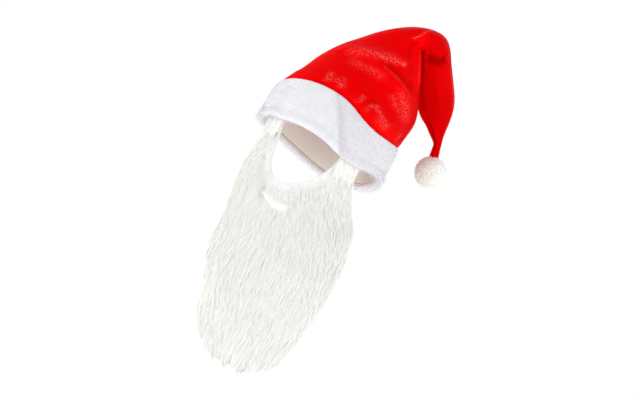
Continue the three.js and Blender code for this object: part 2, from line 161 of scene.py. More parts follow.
# Crown: a floppy cone of red velour, seamed at the back and sewn in behind the top of the cuff. It leans and
# folds over at the top, and its tail hangs beside it to a gathered neck. Highlights are painted on its ridges
# and puckers, and shade is painted in its creases and hollows and over the tail.
MM = 0.001
ROUND = 256  # points round the crown and the cuff
OPENING_HALF_WIDTH, OPENING_HALF_DEPTH = 79, 98  # millimetres of clear space inside the brim
BRIM_PITCH = math.radians(11)  # it is higher in front than at the back
CROWN_CLOTH, LINING_CLOTH = 2, 1.6  # thicknesses
CROWN_TUCK = 8  # how far the crown reaches down behind the cuff
CROWN_STEPS = 8  # rings to a row of the table
CROWN_HOLLOW_ROWS = 19  # above these the neck is gathered cloth all through
CROWN = np.array(  # left_x, left_z, right_x, right_z, middle_y, half_depth, pitch
    [
        (-75, 71, 84, 60, 13, 103, 11),
        (-67, 86.5, 86, 72, 16, 96, 11),
        (-59.5, 104, 88, 84, 19, 87, 10),
        (-49, 122.5, 87, 97, 22, 78, 9),
        (-37, 139, 82, 112, 25, 70, 8),
        (-24, 154, 74, 129, 29, 61, 6),
        (-8, 172, 65, 151, 34, 52, 4),
        (9, 187, 53.6, 175, 39, 45, 2),
        (26, 199, 52.5, 178, 43, 40, 0),
        (42, 206, 54, 179, 46, 37, 0),
        (57, 209, 55.5, 179, 48, 35, 0),
        (70, 207, 55.5, 178.5, 49, 34, 0),
        (80, 198, 55.3, 177.2, 50, 33, 0),
        (90, 182, 53.5, 174, 54, 31, 0),
        (101, 163, 57, 156, 73, 27, 0),
        (110, 147, 61, 136, 88, 24, 0),
        (116.5, 132, 70, 120, 87, 20, 0),
        (121, 114, 83, 106, 79, 16, 0),
        (124, 102, 96, 97, 71, 12, 0),
        (126, 93, 106, 89, 66, 9, 0),
        (128, 85, 116, 81, 63, 7.5, 0),
        (130, 78, 118, 74, 61, 6.5, 0),
        (134, 64, 120, 59, 60, 7, 0),
    ],
    float,
)
CROWN_FOLDS = (  # path of (row, angle), spread, spread on the far side of the path, height
    (((3.4, -34), (4.6, -8), (5.6, 29)), 0.75, 0.3, 5),
    (((4.5, 12), (4.75, 27), (4.75, 54)), 0.35, 0.35, -4),
    (((4.15, 8), (4.15, 32), (3.75, 52), (3.2, 60), (1.9, 66)), 0.25, 0.9, 4.5),
    (((0.6, 32), (0.15, 44), (-0.2, 54)), 0.25, 0.3, 2.5),
    (((0.7, 38), (-0.4, 60)), 0.3, 0.3, -2),
    (((7.8, 12), (8.9, -3), (9.7, -30)), 0.25, 0.4, 2),
    (((9.9, -35), (9.95, -20), (10.25, 5), (11.85, 28), (13.4, 27)), 0.15, 0.6, 2.5),
    (((13.15, 24), (13.15, -22), (12.95, -42)), 0.35, 0.5, -4),
    (((14.5, -10), (16.6, -24)), 0.7, 0.7, 2.5),
    (((7.3, 64), (6.5, 62), (5.9, 65), (5.3, 72)), 0.35, 0.25, 2.5),
    (((2.6, 150), (6.2, -160)), 0.9, 0.5, 4),
    (((1.8, 115), (4.8, 165)), 0.9, 0.9, -4),
    (((1.2, -105), (4.4, -135)), 0.9, 0.5, 4),
    (((1.0, -75), (3.0, -100)), 0.8, 0.8, -1),
)
FOLD_TURN = 15  # degrees round the crown that count as one row
PAINTED_HIGHLIGHT_MARKS = (  # path, spread, share of painted highlight
    (((3.6, -28), (4.2, -18), (4.6, -8)), 0.5, 0.3),
    (((4.3, -16), (5.05, 6)), 0.34, 0.45),
    (((5.0, 4), (5.3, 17)), 0.25, 0.6),
    (((5.3, 17), (5.55, 29)), 0.14, 0.65),
    (((2.8, -18), (3.0, 0), (3.2, 11)), 0.35, 0.25),
    (((3.2, 42), (2.75, 52), (1.65, 60)), 0.4, 0.32),
    (((2.4, 38), (1.9, 48)), 0.3, 0.3),
    (((4.15, 10), (4.15, 32), (3.75, 52)), 0.12, 0.2),
    (((0.1, -15), (0.7, -19)), 0.2, 0.45),
    (((0.3, -9), (0.5, -10)), 0.14, 0.35),
    (((0.2, -2), (0.8, -7)), 0.2, 0.45),
    (((0.1, 19), (0.5, 18)), 0.16, 0.4),
    (((0.1, 29), (0.3, 29)), 0.14, 0.45),
    (((0.5, 33), (0.15, 44), (0.0, 54)), 0.2, 0.45),
    (((0.1, 80), (0.3, 78)), 0.25, 0.3),
    (((7.0, 66), (6.5, 65), (6.0, 67), (5.5, 73)), 0.18, 0.45),
    (((7.8, 12), (8.9, -3), (9.8, -45)), 0.2, 0.45),
    (((7.7, -41), (9.0, -62)), 0.35, 0.3),
    (((5.2, -56), (6.2, -60)), 0.3, 0.25),
    (((13.6, -74), (15.5, -74)), 0.3, 0.4),
    (((2.6, 150), (6.2, -160)), 0.6, 0.4),
    (((1.2, -105), (4.4, -135)), 0.6, 0.4),
)
PAINTED_SHADE_MARKS = (  # path, spread, share of painted shade, a deeper red where the cloth lies away from the light
    (((13.15, 24), (13.15, -22), (12.95, -44)), 0.45, 1.0),
    (((10.0, -50), (10.15, -20), (10.5, 5), (12.05, 30), (13.4, 30)), 0.15, 0.45),
    (((4.6, 14), (4.75, 54)), 0.45, 0.4),
    (((8.5, 30), (6.4, 30), (5.8, 42), (5.1, 52), (4.4, 60)), 0.45, 0.33),
    (((0.3, 32), (0.6, 48), (0.9, 62), (1.2, 76)), 1.3, 0.36),
    (((1.2, 66), (3.4, 62)), 0.5, 0.2),
    (((0.5, 86), (2.1, 82), (3.2, 82), (4.4, 86)), 1.1, 0.5),
    (((0.3, -36), (0.5, -64)), 0.8, 0.14),
    (((13.6, 44), (17.5, 30)), 0.8, 0.6),
    (((18.5, 25), (22.0, 22)), 1.4, 0.95),
)
TAIL_FROM, TAIL_PAINTED_SHADE = 10, 0.36  # the row where the folded tail begins, and the share of painted shade all over it
VELOUR_PUFF = 1.5  # millimetres the soft cloth stands out above the cuff
PUFF_END, PUFF_FADE = 18, 4  # the row where it is down to nothing, and the rows it fades over
SEAM_DEPTH, SEAM_SPREAD, SEAM_END = 0.8, 1.2, 17  # the seam at the back: millimetres, degrees, last row
NECK_FROM, NECK_TO = 16.5, 20  # rows between which the tail is gathered
NECK_PLEATS, NECK_PLEAT_DEPTH = 6, 1.1  # folds round the neck
NECK_TIE = 1.6  # how far the neck is tied in
GATHERS = 52  # puckers along the seam with the cuff
GATHER_LEAN = 3  # degrees a pucker leans to a row
CUFF = np.array(  # angle from the face's middle, lift of the lower edge, height
    [
        (-180, -4, 52),
        (-133, 5, 52),
        (-78, 3, 50),
        (-30, 2, 57),
        (-8, 2, 58),
        (12, -1, 58),
        (32, -7, 55),
        (48, -6, 51),
        (70, 2, 47),
        (95, 6, 49),
        (130, -3, 50),
        (180, -4, 52),
    ],
    float,
)


def along(keys, rows, place):
    """Every column of a table at places between its keys, curving smoothly through the rows."""
    index = np.arange(len(keys))
    before, after = np.maximum(index - 1, 0), np.minimum(index + 1, len(keys) - 1)
    slope = (rows[after] - rows[before]) / (keys[after] - keys[before])[:, None]
    i = np.clip(np.searchsorted(keys, place, side="right") - 1, 0, len(keys) - 2)
    span = (keys[i + 1] - keys[i])[..., None]
    t = np.clip((place - keys[i])[..., None] / span, 0, 1)
    start = rows[i] * (1 + 2 * t) * (1 - t) ** 2 + slope[i] * span * t * (1 - t) ** 2
    return start + rows[i + 1] * (3 - 2 * t) * t**2 - slope[i + 1] * span * t**2 * (1 - t)


def wrap(degrees):
    return (np.asarray(degrees, float) + 180) % 360 - 180


def brim_point(degrees, outside, height):
    """Point on a ring round the brim's opening, so far outside it and so high above it."""
    turn = np.radians(degrees)
    x = (OPENING_HALF_WIDTH + outside) * np.sin(turn)
    y = -(OPENING_HALF_DEPTH + outside) * np.cos(turn)
    tilt, lean = math.cos(BRIM_PITCH), math.sin(BRIM_PITCH)
    return np.stack([x, y * tilt + height * lean, height * tilt - y * lean], -1)


def cuff_edges(degrees):
    """Heights of the cuff's lower and upper edge."""
    edge = along(CUFF[:, 0], CUFF[:, 1:], wrap(degrees))
    return edge[..., 0], edge[..., 0] + edge[..., 1]


def from_path(place, degrees, path):
    """How far places on the crown lie from a path on it, in rows, and which of them lie on its far side."""
    nearest, beyond = np.inf, False
    for (row_from, angle_from), (row_to, angle_to) in zip(path, path[1:]):
        rows, turn = row_to - row_from, wrap(angle_to - angle_from) / FOLD_TURN
        off = wrap(degrees - angle_from) / FOLD_TURN
        t = np.clip(((place - row_from) * rows + off * turn) / (rows**2 + turn**2), 0, 1)
        far = np.hypot(place - row_from - t * rows, off - t * turn)
        beyond = np.where(far < nearest, off * rows - (place - row_from) * turn > 0, beyond)
        nearest = np.minimum(far, nearest)
    return nearest, beyond


def fold_height(place, degrees):
    height = np.zeros(np.broadcast(place, degrees).shape)
    for path, spread, past, rise in CROWN_FOLDS:
        far, beyond = from_path(place, degrees, path)
        height += rise * np.exp(-((far / np.where(beyond, past, spread)) ** 2))
    return height


def nap_share(place, degrees, marks):
    """The largest share that any of the marks gives to places on the crown."""
    share = np.zeros(np.broadcast(place, degrees).shape)
    for path, spread, most in marks:
        share = np.maximum(share, most * np.exp(-((from_path(place, degrees, path)[0] / spread) ** 2)))
    return share


gather_draw = np.random.default_rng(11)
gather_angles = np.linspace(-180, 180, GATHERS, endpoint=False) + gather_draw.uniform(-3, 3, GATHERS)
gather_heights = gather_draw.uniform(0.3, 1.7, GATHERS)
gather_widths = gather_draw.uniform(1.4, 2.8, GATHERS)
gather_reaches = gather_draw.uniform(0.25, 0.9, GATHERS)


def gathering(place, degrees):
    """Small upright puckers where the velour is eased into the cuff."""
    height = np.zeros(np.broadcast(place, degrees).shape)
    for angle, rise, width, reach in zip(gather_angles, gather_heights, gather_widths, gather_reaches):
        lean = angle + GATHER_LEAN * place
        height += rise * np.exp(-((wrap(degrees - lean) / width) ** 2) - (place / reach) ** 2)
    return height


def crown_point(place, degrees, wall):
    """Point of the crown cloth at a place along the table, with the wall taken off for the inside."""
    row = along(np.arange(len(CROWN), dtype=float), CROWN, place)
    left_x, left_z, right_x, right_z, middle_y, half_depth, pitch = np.moveaxis(row, -1, 0)
    across = np.stack([right_x - left_x, 0 * left_x, right_z - left_z], -1)
    half_width = np.linalg.norm(across, axis=-1) / 2
    across = across / (2 * half_width)[..., None]
    middle = np.stack([(left_x + right_x) / 2, middle_y, (left_z + right_z) / 2], -1)
    tilt = np.radians(pitch)
    back = np.stack([0 * tilt, np.cos(tilt), -np.sin(tilt)], -1)
    turn = np.radians(degrees)
    gathered = np.clip((place - NECK_FROM) / (NECK_TO - NECK_FROM), 0, 1)
    gathered = gathered * gathered * (3 - 2 * gathered)
    pleat = gathered * (NECK_PLEAT_DEPTH * np.cos(NECK_PLEATS * turn) - NECK_TIE)
    seam = -SEAM_DEPTH * np.exp(-((wrap(degrees - 180) / SEAM_SPREAD) ** 2)) * (place < SEAM_END)
    puff = VELOUR_PUFF * np.clip(place, 0, 1) * np.clip((PUFF_END - place) / PUFF_FADE, 0, 1)
    grow = fold_height(place, degrees) + gathering(place, degrees) + puff + pleat + seam - wall
    sideways = across * ((half_width + grow) * np.sin(turn))[..., None]
    return middle + sideways - back * ((half_depth + grow) * np.cos(turn))[..., None]


def store(mesh, name, values):
    """A named value, or a vector, for each point of a mesh."""
    vector = values.ndim == 2
    attribute = mesh.attributes.new(name, "FLOAT_VECTOR" if vector else "FLOAT", "POINT")
    attribute.data.foreach_set("vector" if vector else "value", values.astype(np.float32).ravel())


def ring_mesh(name, rings, looped=False, values=None):
    """A closed mesh through rings of points, in millimetres; a looped list of rings closes on itself.

    The values are named lists of a number for each point.
    """
    count, around = rings.shape[:2]
    j, i = np.meshgrid(np.arange(count if looped else count - 1), np.arange(around), indexing="ij")
    ahead, below = (i + 1) % around, (j + 1) % count
    faces = np.stack([j * around + i, j * around + ahead, below * around + ahead, below * around + i], -1)
    mesh = bpy.data.meshes.new(name)
    mesh.from_pydata((rings.reshape(-1, 3) * MM).tolist(), [], faces.reshape(-1, 4).tolist())
    for value_name, numbers in (values or {}).items():
        store(mesh, value_name, np.ravel(numbers))
    work = bmesh.new()
    work.from_mesh(mesh)
    bmesh.ops.remove_doubles(work, verts=work.verts, dist=1e-6)
    bmesh.ops.recalc_face_normals(work, faces=work.faces)
    work.to_mesh(mesh)
    work.free()
    mesh.shade_smooth()
    return mesh


def show(name, mesh, material):
    """A finished piece of the object, riding on its one body."""
    piece = bpy.data.objects.new(name, mesh)
    bpy.context.collection.objects.link(piece)
    mesh.materials.clear()
    mesh.materials.append(material)
    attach(piece, "root")
    return piece


def pile_grain():
    """Shader group: fine specks of a pile inside broader brushed patches, with bright specks of painted
    highlight.
    """
    group = bpy.data.node_groups.new("pile_grain", "ShaderNodeTree")
    usual = {"Speck Scale": 700.0, "Patch Scale": 30.0, "Speck Share": 0.5, "Painted Highlight": 0.0}
    for name, value in usual.items():
        socket = group.interface.new_socket(name, in_out="INPUT", socket_type="NodeSocketFloat")
        socket.default_value = value
    for name in ("Shade", "Height", "Glint"):
        group.interface.new_socket(name, in_out="OUTPUT", socket_type="NodeSocketFloat")
    given = add(group, "NodeGroupInput")
    place = out(add(group, "ShaderNodeTexCoord"), "Object")
    fine = {"Vector": place, "Scale": out(given, "Speck Scale"), "Detail": 3.0, "Roughness": 0.6}
    specks = out(add(group, "ShaderNodeTexNoise", fine), "Fac")
    broad = {"Vector": place, "Scale": out(given, "Patch Scale"), "Detail": 3.0}
    patches = out(add(group, "ShaderNodeTexNoise", broad), "Fac")
    both = {"Factor": out(given, "Speck Share"), "A": patches, "B": specks}
    shade = out(add(group, "ShaderNodeMix", both, data_type="FLOAT"))
    brightest = {"Value": specks, "From Min": 0.515, "From Max": 0.572, "To Min": 0.05, "To Max": 1.55}
    bright = out(add(group, "ShaderNodeMapRange", brightest))
    glint = out(add(group, "ShaderNodeMath", {0: bright, 1: out(given, "Painted Highlight")}, operation="MULTIPLY"))
    add(group, "NodeGroupOutput", {"Shade": shade, "Height": specks, "Glint": glint})
    return group


def pile_look(tree, values):
    """That group placed in a material, with the material's own values."""
    return add(tree, "ShaderNodeGroup", values, node_tree=grain)


def shade_ramp(tree, value, stops):
    """Colours from low to high along a value."""
    ramp = add(tree, "ShaderNodeValToRGB", {"Fac": value})
    elements = ramp.color_ramp.elements
    while len(elements) < len(stops):
        elements.new(0.5)
    for element, (position, colour) in zip(elements, stops):
        element.position = position
        element.color = (*colour, 1)
    return out(ramp)


def mesh_value(tree, name):
    """A number that the mesh carries at each point."""
    return out(add(tree, "ShaderNodeAttribute", attribute_name=name), "Fac")


def mixed(tree, share, colour, other):
    """A colour, mixed with another by a share that changes over the surface."""
    wires = {"Factor": share, "A": colour, "B": (*other, 1)}
    return out(add(tree, "ShaderNodeMix", wires, data_type="RGBA"))


def raise_nap(tree, shader, nap, strength, depth):
    """The specks of a pile as fine relief."""
    wires = {"Height": out(nap, "Height"), "Strength": strength, "Distance": depth}
    tree.links.new(out(add(tree, "ShaderNodeBump", wires)), shader.inputs["Normal"])


VELOUR_REDS = ((0.3, (0.79, 0.0002, 0.0006)), (0.5, (0.86, 0.0003, 0.001)), (0.68, (0.91, 0.001, 0.002)))
# painted shade: the deeper red where the cloth lies away from the light
VELOUR_PAINTED_SHADE = (0.36, 0.0002, 0.0006)
# painted highlight: the pale red of the glints
VELOUR_HIGHLIGHT = (1.0, 0.16, 0.15)
VELOUR_BACK = (0.42, 0.05, 0.045)  # the knitted inner side
grain = pile_grain()
velour, tree, shader = new_material("red_velour")
highlight_share = mesh_value(tree, "painted_highlight")
nap = pile_look(tree, {"Speck Scale": 620.0, "Patch Scale": 26.0, "Speck Share": 0.45, "Painted Highlight": highlight_share})
red = shade_ramp(tree, out(nap, "Shade"), VELOUR_REDS)
# painted shade and painted highlights are mixed into the red
red = mixed(tree, mesh_value(tree, "painted_shade"), red, VELOUR_PAINTED_SHADE)
red = mixed(tree, out(nap, "Glint"), red, VELOUR_HIGHLIGHT)
red = mixed(tree, mesh_value(tree, "inner_side"), red, VELOUR_BACK)
tree.links.new(red, shader.inputs["Base Color"])
raise_nap(tree, shader, nap, strength=0.5, depth=0.0006)
gloss = {"Value": out(nap, "Height"), "From Min": 0.35, "From Max": 0.65, "To Min": 0.42, "To Max": 0.62}
tree.links.new(out(add(tree, "ShaderNodeMapRange", gloss)), shader.inputs["Roughness"])
set_finish(shader, {"Specular IOR Level": 0.008, "Sheen Weight": 0.004})
set_finish(shader, {"Sheen Roughness": 0.4, "Sheen Tint": (1, 0.2, 0.2, 1)})

angles = np.linspace(-180, 180, ROUND, endpoint=False)
top = cuff_edges(angles)[1]
inner_out = LINING_CLOTH - CROWN_CLOTH
places = np.arange(0, len(CROWN) - 1 + 1e-6, 1 / CROWN_STEPS)
hollow = np.arange(CROWN_HOLLOW_ROWS, -1e-6, -2 / CROWN_STEPS)


def crown_ring(place, wall):
    return crown_point(np.full(ROUND, float(place)), angles, wall)


def to_middle(ring):
    return np.broadcast_to(ring.mean(0), ring.shape)


inside_rings = [to_middle(crown_ring(CROWN_HOLLOW_ROWS, CROWN_CLOTH))]
inside_rings += [crown_ring(place, CROWN_CLOTH) for place in hollow]
TUCK = (  # millimetres outside the opening and above the cuff, where the lower end is tucked in
    (inner_out + 2.5, 5),
    (inner_out, 0),
    (inner_out, -CROWN_TUCK),
    (LINING_CLOTH, -CROWN_TUCK),
    (LINING_CLOTH, 0.4),
    (LINING_CLOTH + 3.4, 4),
)
tuck_rings = [brim_point(angles, outside, top + above) for outside, above in TUCK]
outside_rings = [crown_ring(place, 0) for place in places]
outside_rings += [to_middle(crown_ring(len(CROWN) - 1, 0))]
crown_rings = np.array(inside_rings + tuck_rings + outside_rings)
painted_highlight, painted_shade, inner_side = np.zeros((3, *crown_rings.shape[:2]))
outer = slice(-len(outside_rings), -1)
# painted highlights and painted shade over the crown's outside, with the whole tail in painted shade
painted_highlight[outer] = nap_share(places[:, None], angles, PAINTED_HIGHLIGHT_MARKS)
tail_painted_shade = TAIL_PAINTED_SHADE * np.clip((places - TAIL_FROM) / 2, 0, 1)[:, None]
painted_shade[outer] = np.maximum(nap_share(places[:, None], angles, PAINTED_SHADE_MARKS), tail_painted_shade)
inner_side[: len(inside_rings) + 2] = 1
crown_values = {"painted_highlight": painted_highlight, "inner_side": inner_side, "painted_shade": painted_shade}
crown_mesh = ring_mesh("crown_velour", crown_rings, values=crown_values)
crown = show("crown_velour", crown_mesh, velour)
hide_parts("crown")

# Cuff: a band of white plush round the brim, folded over a soft filling. Its outside bulges, its lower edge
# is rolled and turned up inside, and the short pile stands out all over it.
GAP = 0.4  # clear space between two cloths
CUFF_PLUSH = 8  # thickness with its filling
CUFF_LIP = 5  # how far the lower edge is turned up inside
CUFF_SMOOTH = 5  # points between two of the profile's
CUFF_DENTS = (  # angle at the lower edge, degrees it leans up to the top, spread, depth of soft hollows
    (-140, 0, 12, 2.5),
    (-95, 0, 9, 2),
    (-42, 0, 8, 2),
    (31, -26, 4, 3),
    (52, 0, 8, 2.5),
    (105, 0, 10, 2.5),
    (160, 0, 12, 2),
)
CREASE_AT, CREASE_LEAN = 28, -26  # the same for the crease in front, which carries painted shade
CREASE_DEEPEST, CREASE_RIGHT = 0.65, 0.4  # shares of painted shade in the crease and to its right
CREASE_SHARP, CREASE_SOFT = 1.5, 7  # degrees it fades over on its left and on its right
cuff_in = LINING_CLOTH + GAP
cuff_out = cuff_in + CUFF_PLUSH
CUFF_PROFILE = np.array(  # out, up, share of the height, softness
    [
        (0, CUFF_LIP, 0, 0),
        (0.6, 3.5, 0, 0),
        (3.5, 0, 0, 0),
        (cuff_in + 5, 0.2, 0, 0),
        (cuff_out - 0.4, 3.4, 0, 0.2),
        (cuff_out - 0.2, 7.5, 0, 0.4),
        (cuff_out - 1.2, 11.5, 0, 0.6),
        (cuff_out, 0, 0.34, 1),
        (cuff_out, 0, 0.55, 1),
        (cuff_out - 0.6, 0, 0.8, 1),
        (cuff_out - 2.4, -1.2, 1, 0),
        (cuff_in + 2.5, 0, 1, 0),
        (cuff_in, -2, 1, 0),
        (cuff_in, CUFF_LIP, 0, 0),
    ],
    float,
)


def cuff_ring(row):
    out_by, up_by, share, soft = row
    low, high = cuff_edges(angles)
    level = up_by / (high - low) + share
    dent = sum(
        depth * np.exp(-((wrap(angles - angle - lean * level) / spread) ** 2))
        for angle, lean, spread, depth in CUFF_DENTS
    )
    return brim_point(angles, out_by - soft * dent, low + up_by + share * (high - low))


loop = np.vstack([CUFF_PROFILE, CUFF_PROFILE[:1]])
cuff_steps = np.arange(len(CUFF_PROFILE) * CUFF_SMOOTH) / CUFF_SMOOTH
cuff_rows = np.stack([np.interp(cuff_steps, np.arange(len(loop)), loop[:, c]) for c in range(4)], -1)


def plush_painted_shade(row):
    """Share of painted shade: in the crease, right of it, far left and in the lip."""
    out_by, up_by, share, _ = row
    low, high = cuff_edges(angles)
    past = wrap(angles - CREASE_AT - CREASE_LEAN * (up_by / (high - low) + share))
    left = CREASE_DEEPEST * np.exp(-((past / CREASE_SHARP) ** 2))
    right = CREASE_RIGHT + (CREASE_DEEPEST - CREASE_RIGHT) * np.exp(-((past / CREASE_SOFT) ** 2))
    front = np.where(past < 0, left, right) * np.interp(angles, [80, 110], [1, 0]) * (angles > -40)
    far_left = 0.25 * np.interp(angles, [-110, -80, -45, -28], [0, 1, 1, 0])
    lip = np.clip((up_by - 1) / 4, 0, 1) * np.interp(angles % 360, [100, 150, 200, 230], [0, 1, 0.4, 0])
    return np.maximum(front, far_left) if out_by > 1 else lip


cuff_rings = np.array([cuff_ring(row) for row in cuff_rows])
# painted shade on the cuff, carried by its points
cuff_painted_shade = np.array([plush_painted_shade(row) for row in cuff_rows])
cuff_mesh = ring_mesh("cuff_plush", cuff_rings, looped=True, values={"painted_shade": cuff_painted_shade})
PLUSH_WHITES = ((0.3, (0.755, 0.75, 0.775)), (0.5, (0.785, 0.78, 0.805)), (0.7, (0.815, 0.81, 0.835)))
# painted shade colour for the plush and its pile
PLUSH_PAINTED_SHADE = (0.63, 0.6, 0.64)
plush, tree, shader = new_material("white_plush")
nap = pile_look(tree, {"Speck Scale": 900.0, "Patch Scale": 60.0, "Speck Share": 0.5})
white = shade_ramp(tree, out(nap, "Shade"), PLUSH_WHITES)
white = mixed(tree, mesh_value(tree, "painted_shade"), white, PLUSH_PAINTED_SHADE)
tree.links.new(white, shader.inputs["Base Color"])
raise_nap(tree, shader, nap, strength=0.12, depth=0.001)
set_finish(shader, {"Roughness": 0.95, "Specular IOR Level": 0.1})
set_finish(shader, {"Sheen Weight": 0.2, "Sheen Roughness": 0.6})
cuff = show("cuff_plush", cuff_mesh, plush)
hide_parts("cuff")
STRAND_ARCH = 2.6  # radians of a sine that a strand rises and sinks along
STRAND_THINS, STRAND_END = 1.6, 0.06  # how late a strand thins, and the share of its width at the end
STRAND_ROLL = 0.3  # how far a flat strand rolls from the skin's own slope
STRAND_WORK = ("root", "comb", "reach", "fluff", "fluffed", "clump", "stand", "stray", "long")
STRAND_OWN_SHADE = 0.35  # share of its colour that is a strand's own
LOCK_LIFTS = (0.8, 1.1)  # lowest and highest share of the lift that a lock has


def fur_tree():
    """Geometry nodes: strands rooted all over a skin, combed by its attributes and drawn together into locks.

    The skin carries comb, the way a strand lies, and shares of the full length, lift and pull, which are
    reach, fluff and clump.
    """
    tree = bpy.data.node_groups.new("fur_strands", "GeometryNodeTree")
    tree.interface.new_socket("Skin", in_out="INPUT", socket_type="NodeSocketGeometry")
    for name, kind in (
        ("Strand Density", "NodeSocketFloat"),
        ("Lock Density", "NodeSocketFloat"),
        ("Length", "NodeSocketFloat"),
        ("Shortest Share", "NodeSocketFloat"),
        ("Shortest Lock", "NodeSocketFloat"),
        ("Lift", "NodeSocketFloat"),
        ("Lock Pull", "NodeSocketFloat"),
        ("Lock Stray", "NodeSocketFloat"),
        ("Frizz", "NodeSocketFloat"),
        ("Wave", "NodeSocketFloat"),
        ("Wave Length", "NodeSocketFloat"),
        ("Thickness", "NodeSocketFloat"),
        ("Flat Strands", "NodeSocketBool"),
        ("Points", "NodeSocketInt"),
        ("Seed", "NodeSocketInt"),
        ("Fur", "NodeSocketMaterial"),
    ):
        tree.interface.new_socket(name, in_out="INPUT", socket_type=kind)
    tree.interface.new_socket("Strands", in_out="OUTPUT", socket_type="NodeSocketGeometry")
    given = add(tree, "NodeGroupInput")

    def calc(operation, a, b=0.0):
        return out(add(tree, "ShaderNodeMath", {0: a, 1: b}, operation=operation))

    def product(value, *factors):
        for factor in factors:
            value = calc("MULTIPLY", value, factor)
        return value

    def scaled(vector, by):
        return out(add(tree, "ShaderNodeVectorMath", {0: vector, "Scale": by}, operation="SCALE"))

    def joined(*vectors):
        total = vectors[0]
        for vector in vectors[1:]:
            total = out(add(tree, "ShaderNodeVectorMath", {0: total, 1: vector}, operation="ADD"))
        return total

    def named(name, kind="FLOAT_VECTOR"):
        return out(add(tree, "GeometryNodeInputNamedAttribute", {"Name": name}, data_type=kind))

    def keep(points, name, value, kind="FLOAT_VECTOR"):
        wires = {"Geometry": points, "Name": name, "Value": value}
        return out(add(tree, "GeometryNodeStoreNamedAttribute", wires, data_type=kind, domain="POINT"))

    def draw(low, high, salt, kind="FLOAT", number=None):
        wires = {"Min": low, "Max": high, "Seed": calc("ADD", out(given, "Seed"), float(salt))}
        if number is not None:
            wires["ID"] = number
        return out(add(tree, "FunctionNodeRandomValue", wires, data_type=kind))

    def scatter(density, salt):
        wires = {
            "Mesh": out(given, "Skin"),
            "Density": density,
            "Seed": calc("ADD", out(given, "Seed"), float(salt)),
        }
        node = add(tree, "GeometryNodeDistributePointsOnFaces", wires, distribute_method="RANDOM")
        return keep(out(node, "Points"), "stand", out(node, "Normal"))

    place = out(add(tree, "GeometryNodeInputPosition"))
    locks = scatter(out(given, "Lock Density"), 1)
    roots = scatter(out(given, "Strand Density"), 2)
    nearest = out(add(tree, "GeometryNodeSampleNearest", {"Geometry": locks}, domain="POINT"))

    def of_lock(value):
        wires = {"Geometry": locks, "Value": value, "Index": nearest}
        return out(add(tree, "GeometryNodeSampleIndex", wires, data_type="FLOAT_VECTOR", domain="POINT"))

    roots = keep(roots, "fluffed", product(named("fluff", "FLOAT"), out(given, "Lift")), "FLOAT")
    long = product(out(given, "Length"), named("reach", "FLOAT"))
    long = product(long, draw(out(given, "Shortest Share"), 1.0, 3))
    long = product(long, draw(out(given, "Shortest Lock"), 1.0, 8, number=nearest))
    roots = keep(roots, "lock_root", of_lock(place))
    roots = keep(roots, "lock_comb", of_lock(named("comb")))
    roots = keep(roots, "lock_stand", of_lock(named("stand")))
    roots = keep(roots, "lock_phase", draw(0.0, 2 * math.pi, 4, number=nearest), "FLOAT")
    roots = keep(roots, "lock_lift", draw(*LOCK_LIFTS, 5, number=nearest), "FLOAT")
    roots = keep(roots, "lock_stray", draw((-1, -1, -1), (1, 1, 1), 9, "FLOAT_VECTOR", number=nearest))
    roots = keep(roots, "stray", draw((-1, -1, -1), (1, 1, 1), 6, "FLOAT_VECTOR"))
    roots = keep(roots, "strand_shade", draw(0.0, 1.0, 7), "FLOAT")
    roots = keep(roots, "long", long, "FLOAT")
    roots = keep(roots, "root", place)

    line = add(tree, "GeometryNodeCurvePrimitiveLine", {"Start": (0, 0, 0), "End": (0, 0, 0.001)})
    wires = {"Curve": out(line), "Count": out(given, "Points")}
    line = add(tree, "GeometryNodeResampleCurve", wires, mode="COUNT")
    strands = add(tree, "GeometryNodeInstanceOnPoints", {"Points": roots, "Instance": out(line)})
    strands = out(add(tree, "GeometryNodeRealizeInstances", {"Geometry": out(strands)}))

    t = out(add(tree, "GeometryNodeSplineParameter"), "Factor")
    run = product(named("long", "FLOAT"), t)
    rise = calc("SINE", product(t, STRAND_ARCH))
    rise = product(rise, product(named("lock_lift", "FLOAT"), named("fluffed", "FLOAT")))
    bend = product(run, t, out(given, "Frizz"))
    own = joined(named("root"), scaled(named("comb"), run), scaled(named("stand"), rise))
    own = joined(own, scaled(named("stray"), bend))
    lock_bend = product(run, t, out(given, "Lock Stray"))
    lock = joined(named("lock_root"), scaled(named("lock_comb"), run), scaled(named("lock_stand"), rise))
    lock = joined(lock, scaled(named("lock_stray"), lock_bend))
    pull = product(t, product(named("clump", "FLOAT"), out(given, "Lock Pull")))
    path = add(tree, "ShaderNodeMix", {"Factor": pull, "A": own, "B": lock}, data_type="VECTOR")
    wires = {0: named("lock_stand"), 1: named("lock_comb")}
    sideways = add(tree, "ShaderNodeVectorMath", wires, operation="CROSS_PRODUCT")
    swing = calc("DIVIDE", product(run, 2 * math.pi), out(given, "Wave Length"))
    swing = calc("SINE", calc("ADD", swing, named("lock_phase", "FLOAT")))
    swing = product(swing, t, out(given, "Wave"))
    path = joined(out(path), scaled(out(sideways), swing))
    strands = out(add(tree, "GeometryNodeSetPosition", {"Geometry": strands, "Position": path}))
    strands = keep(strands, "strand_along", t, "FLOAT")

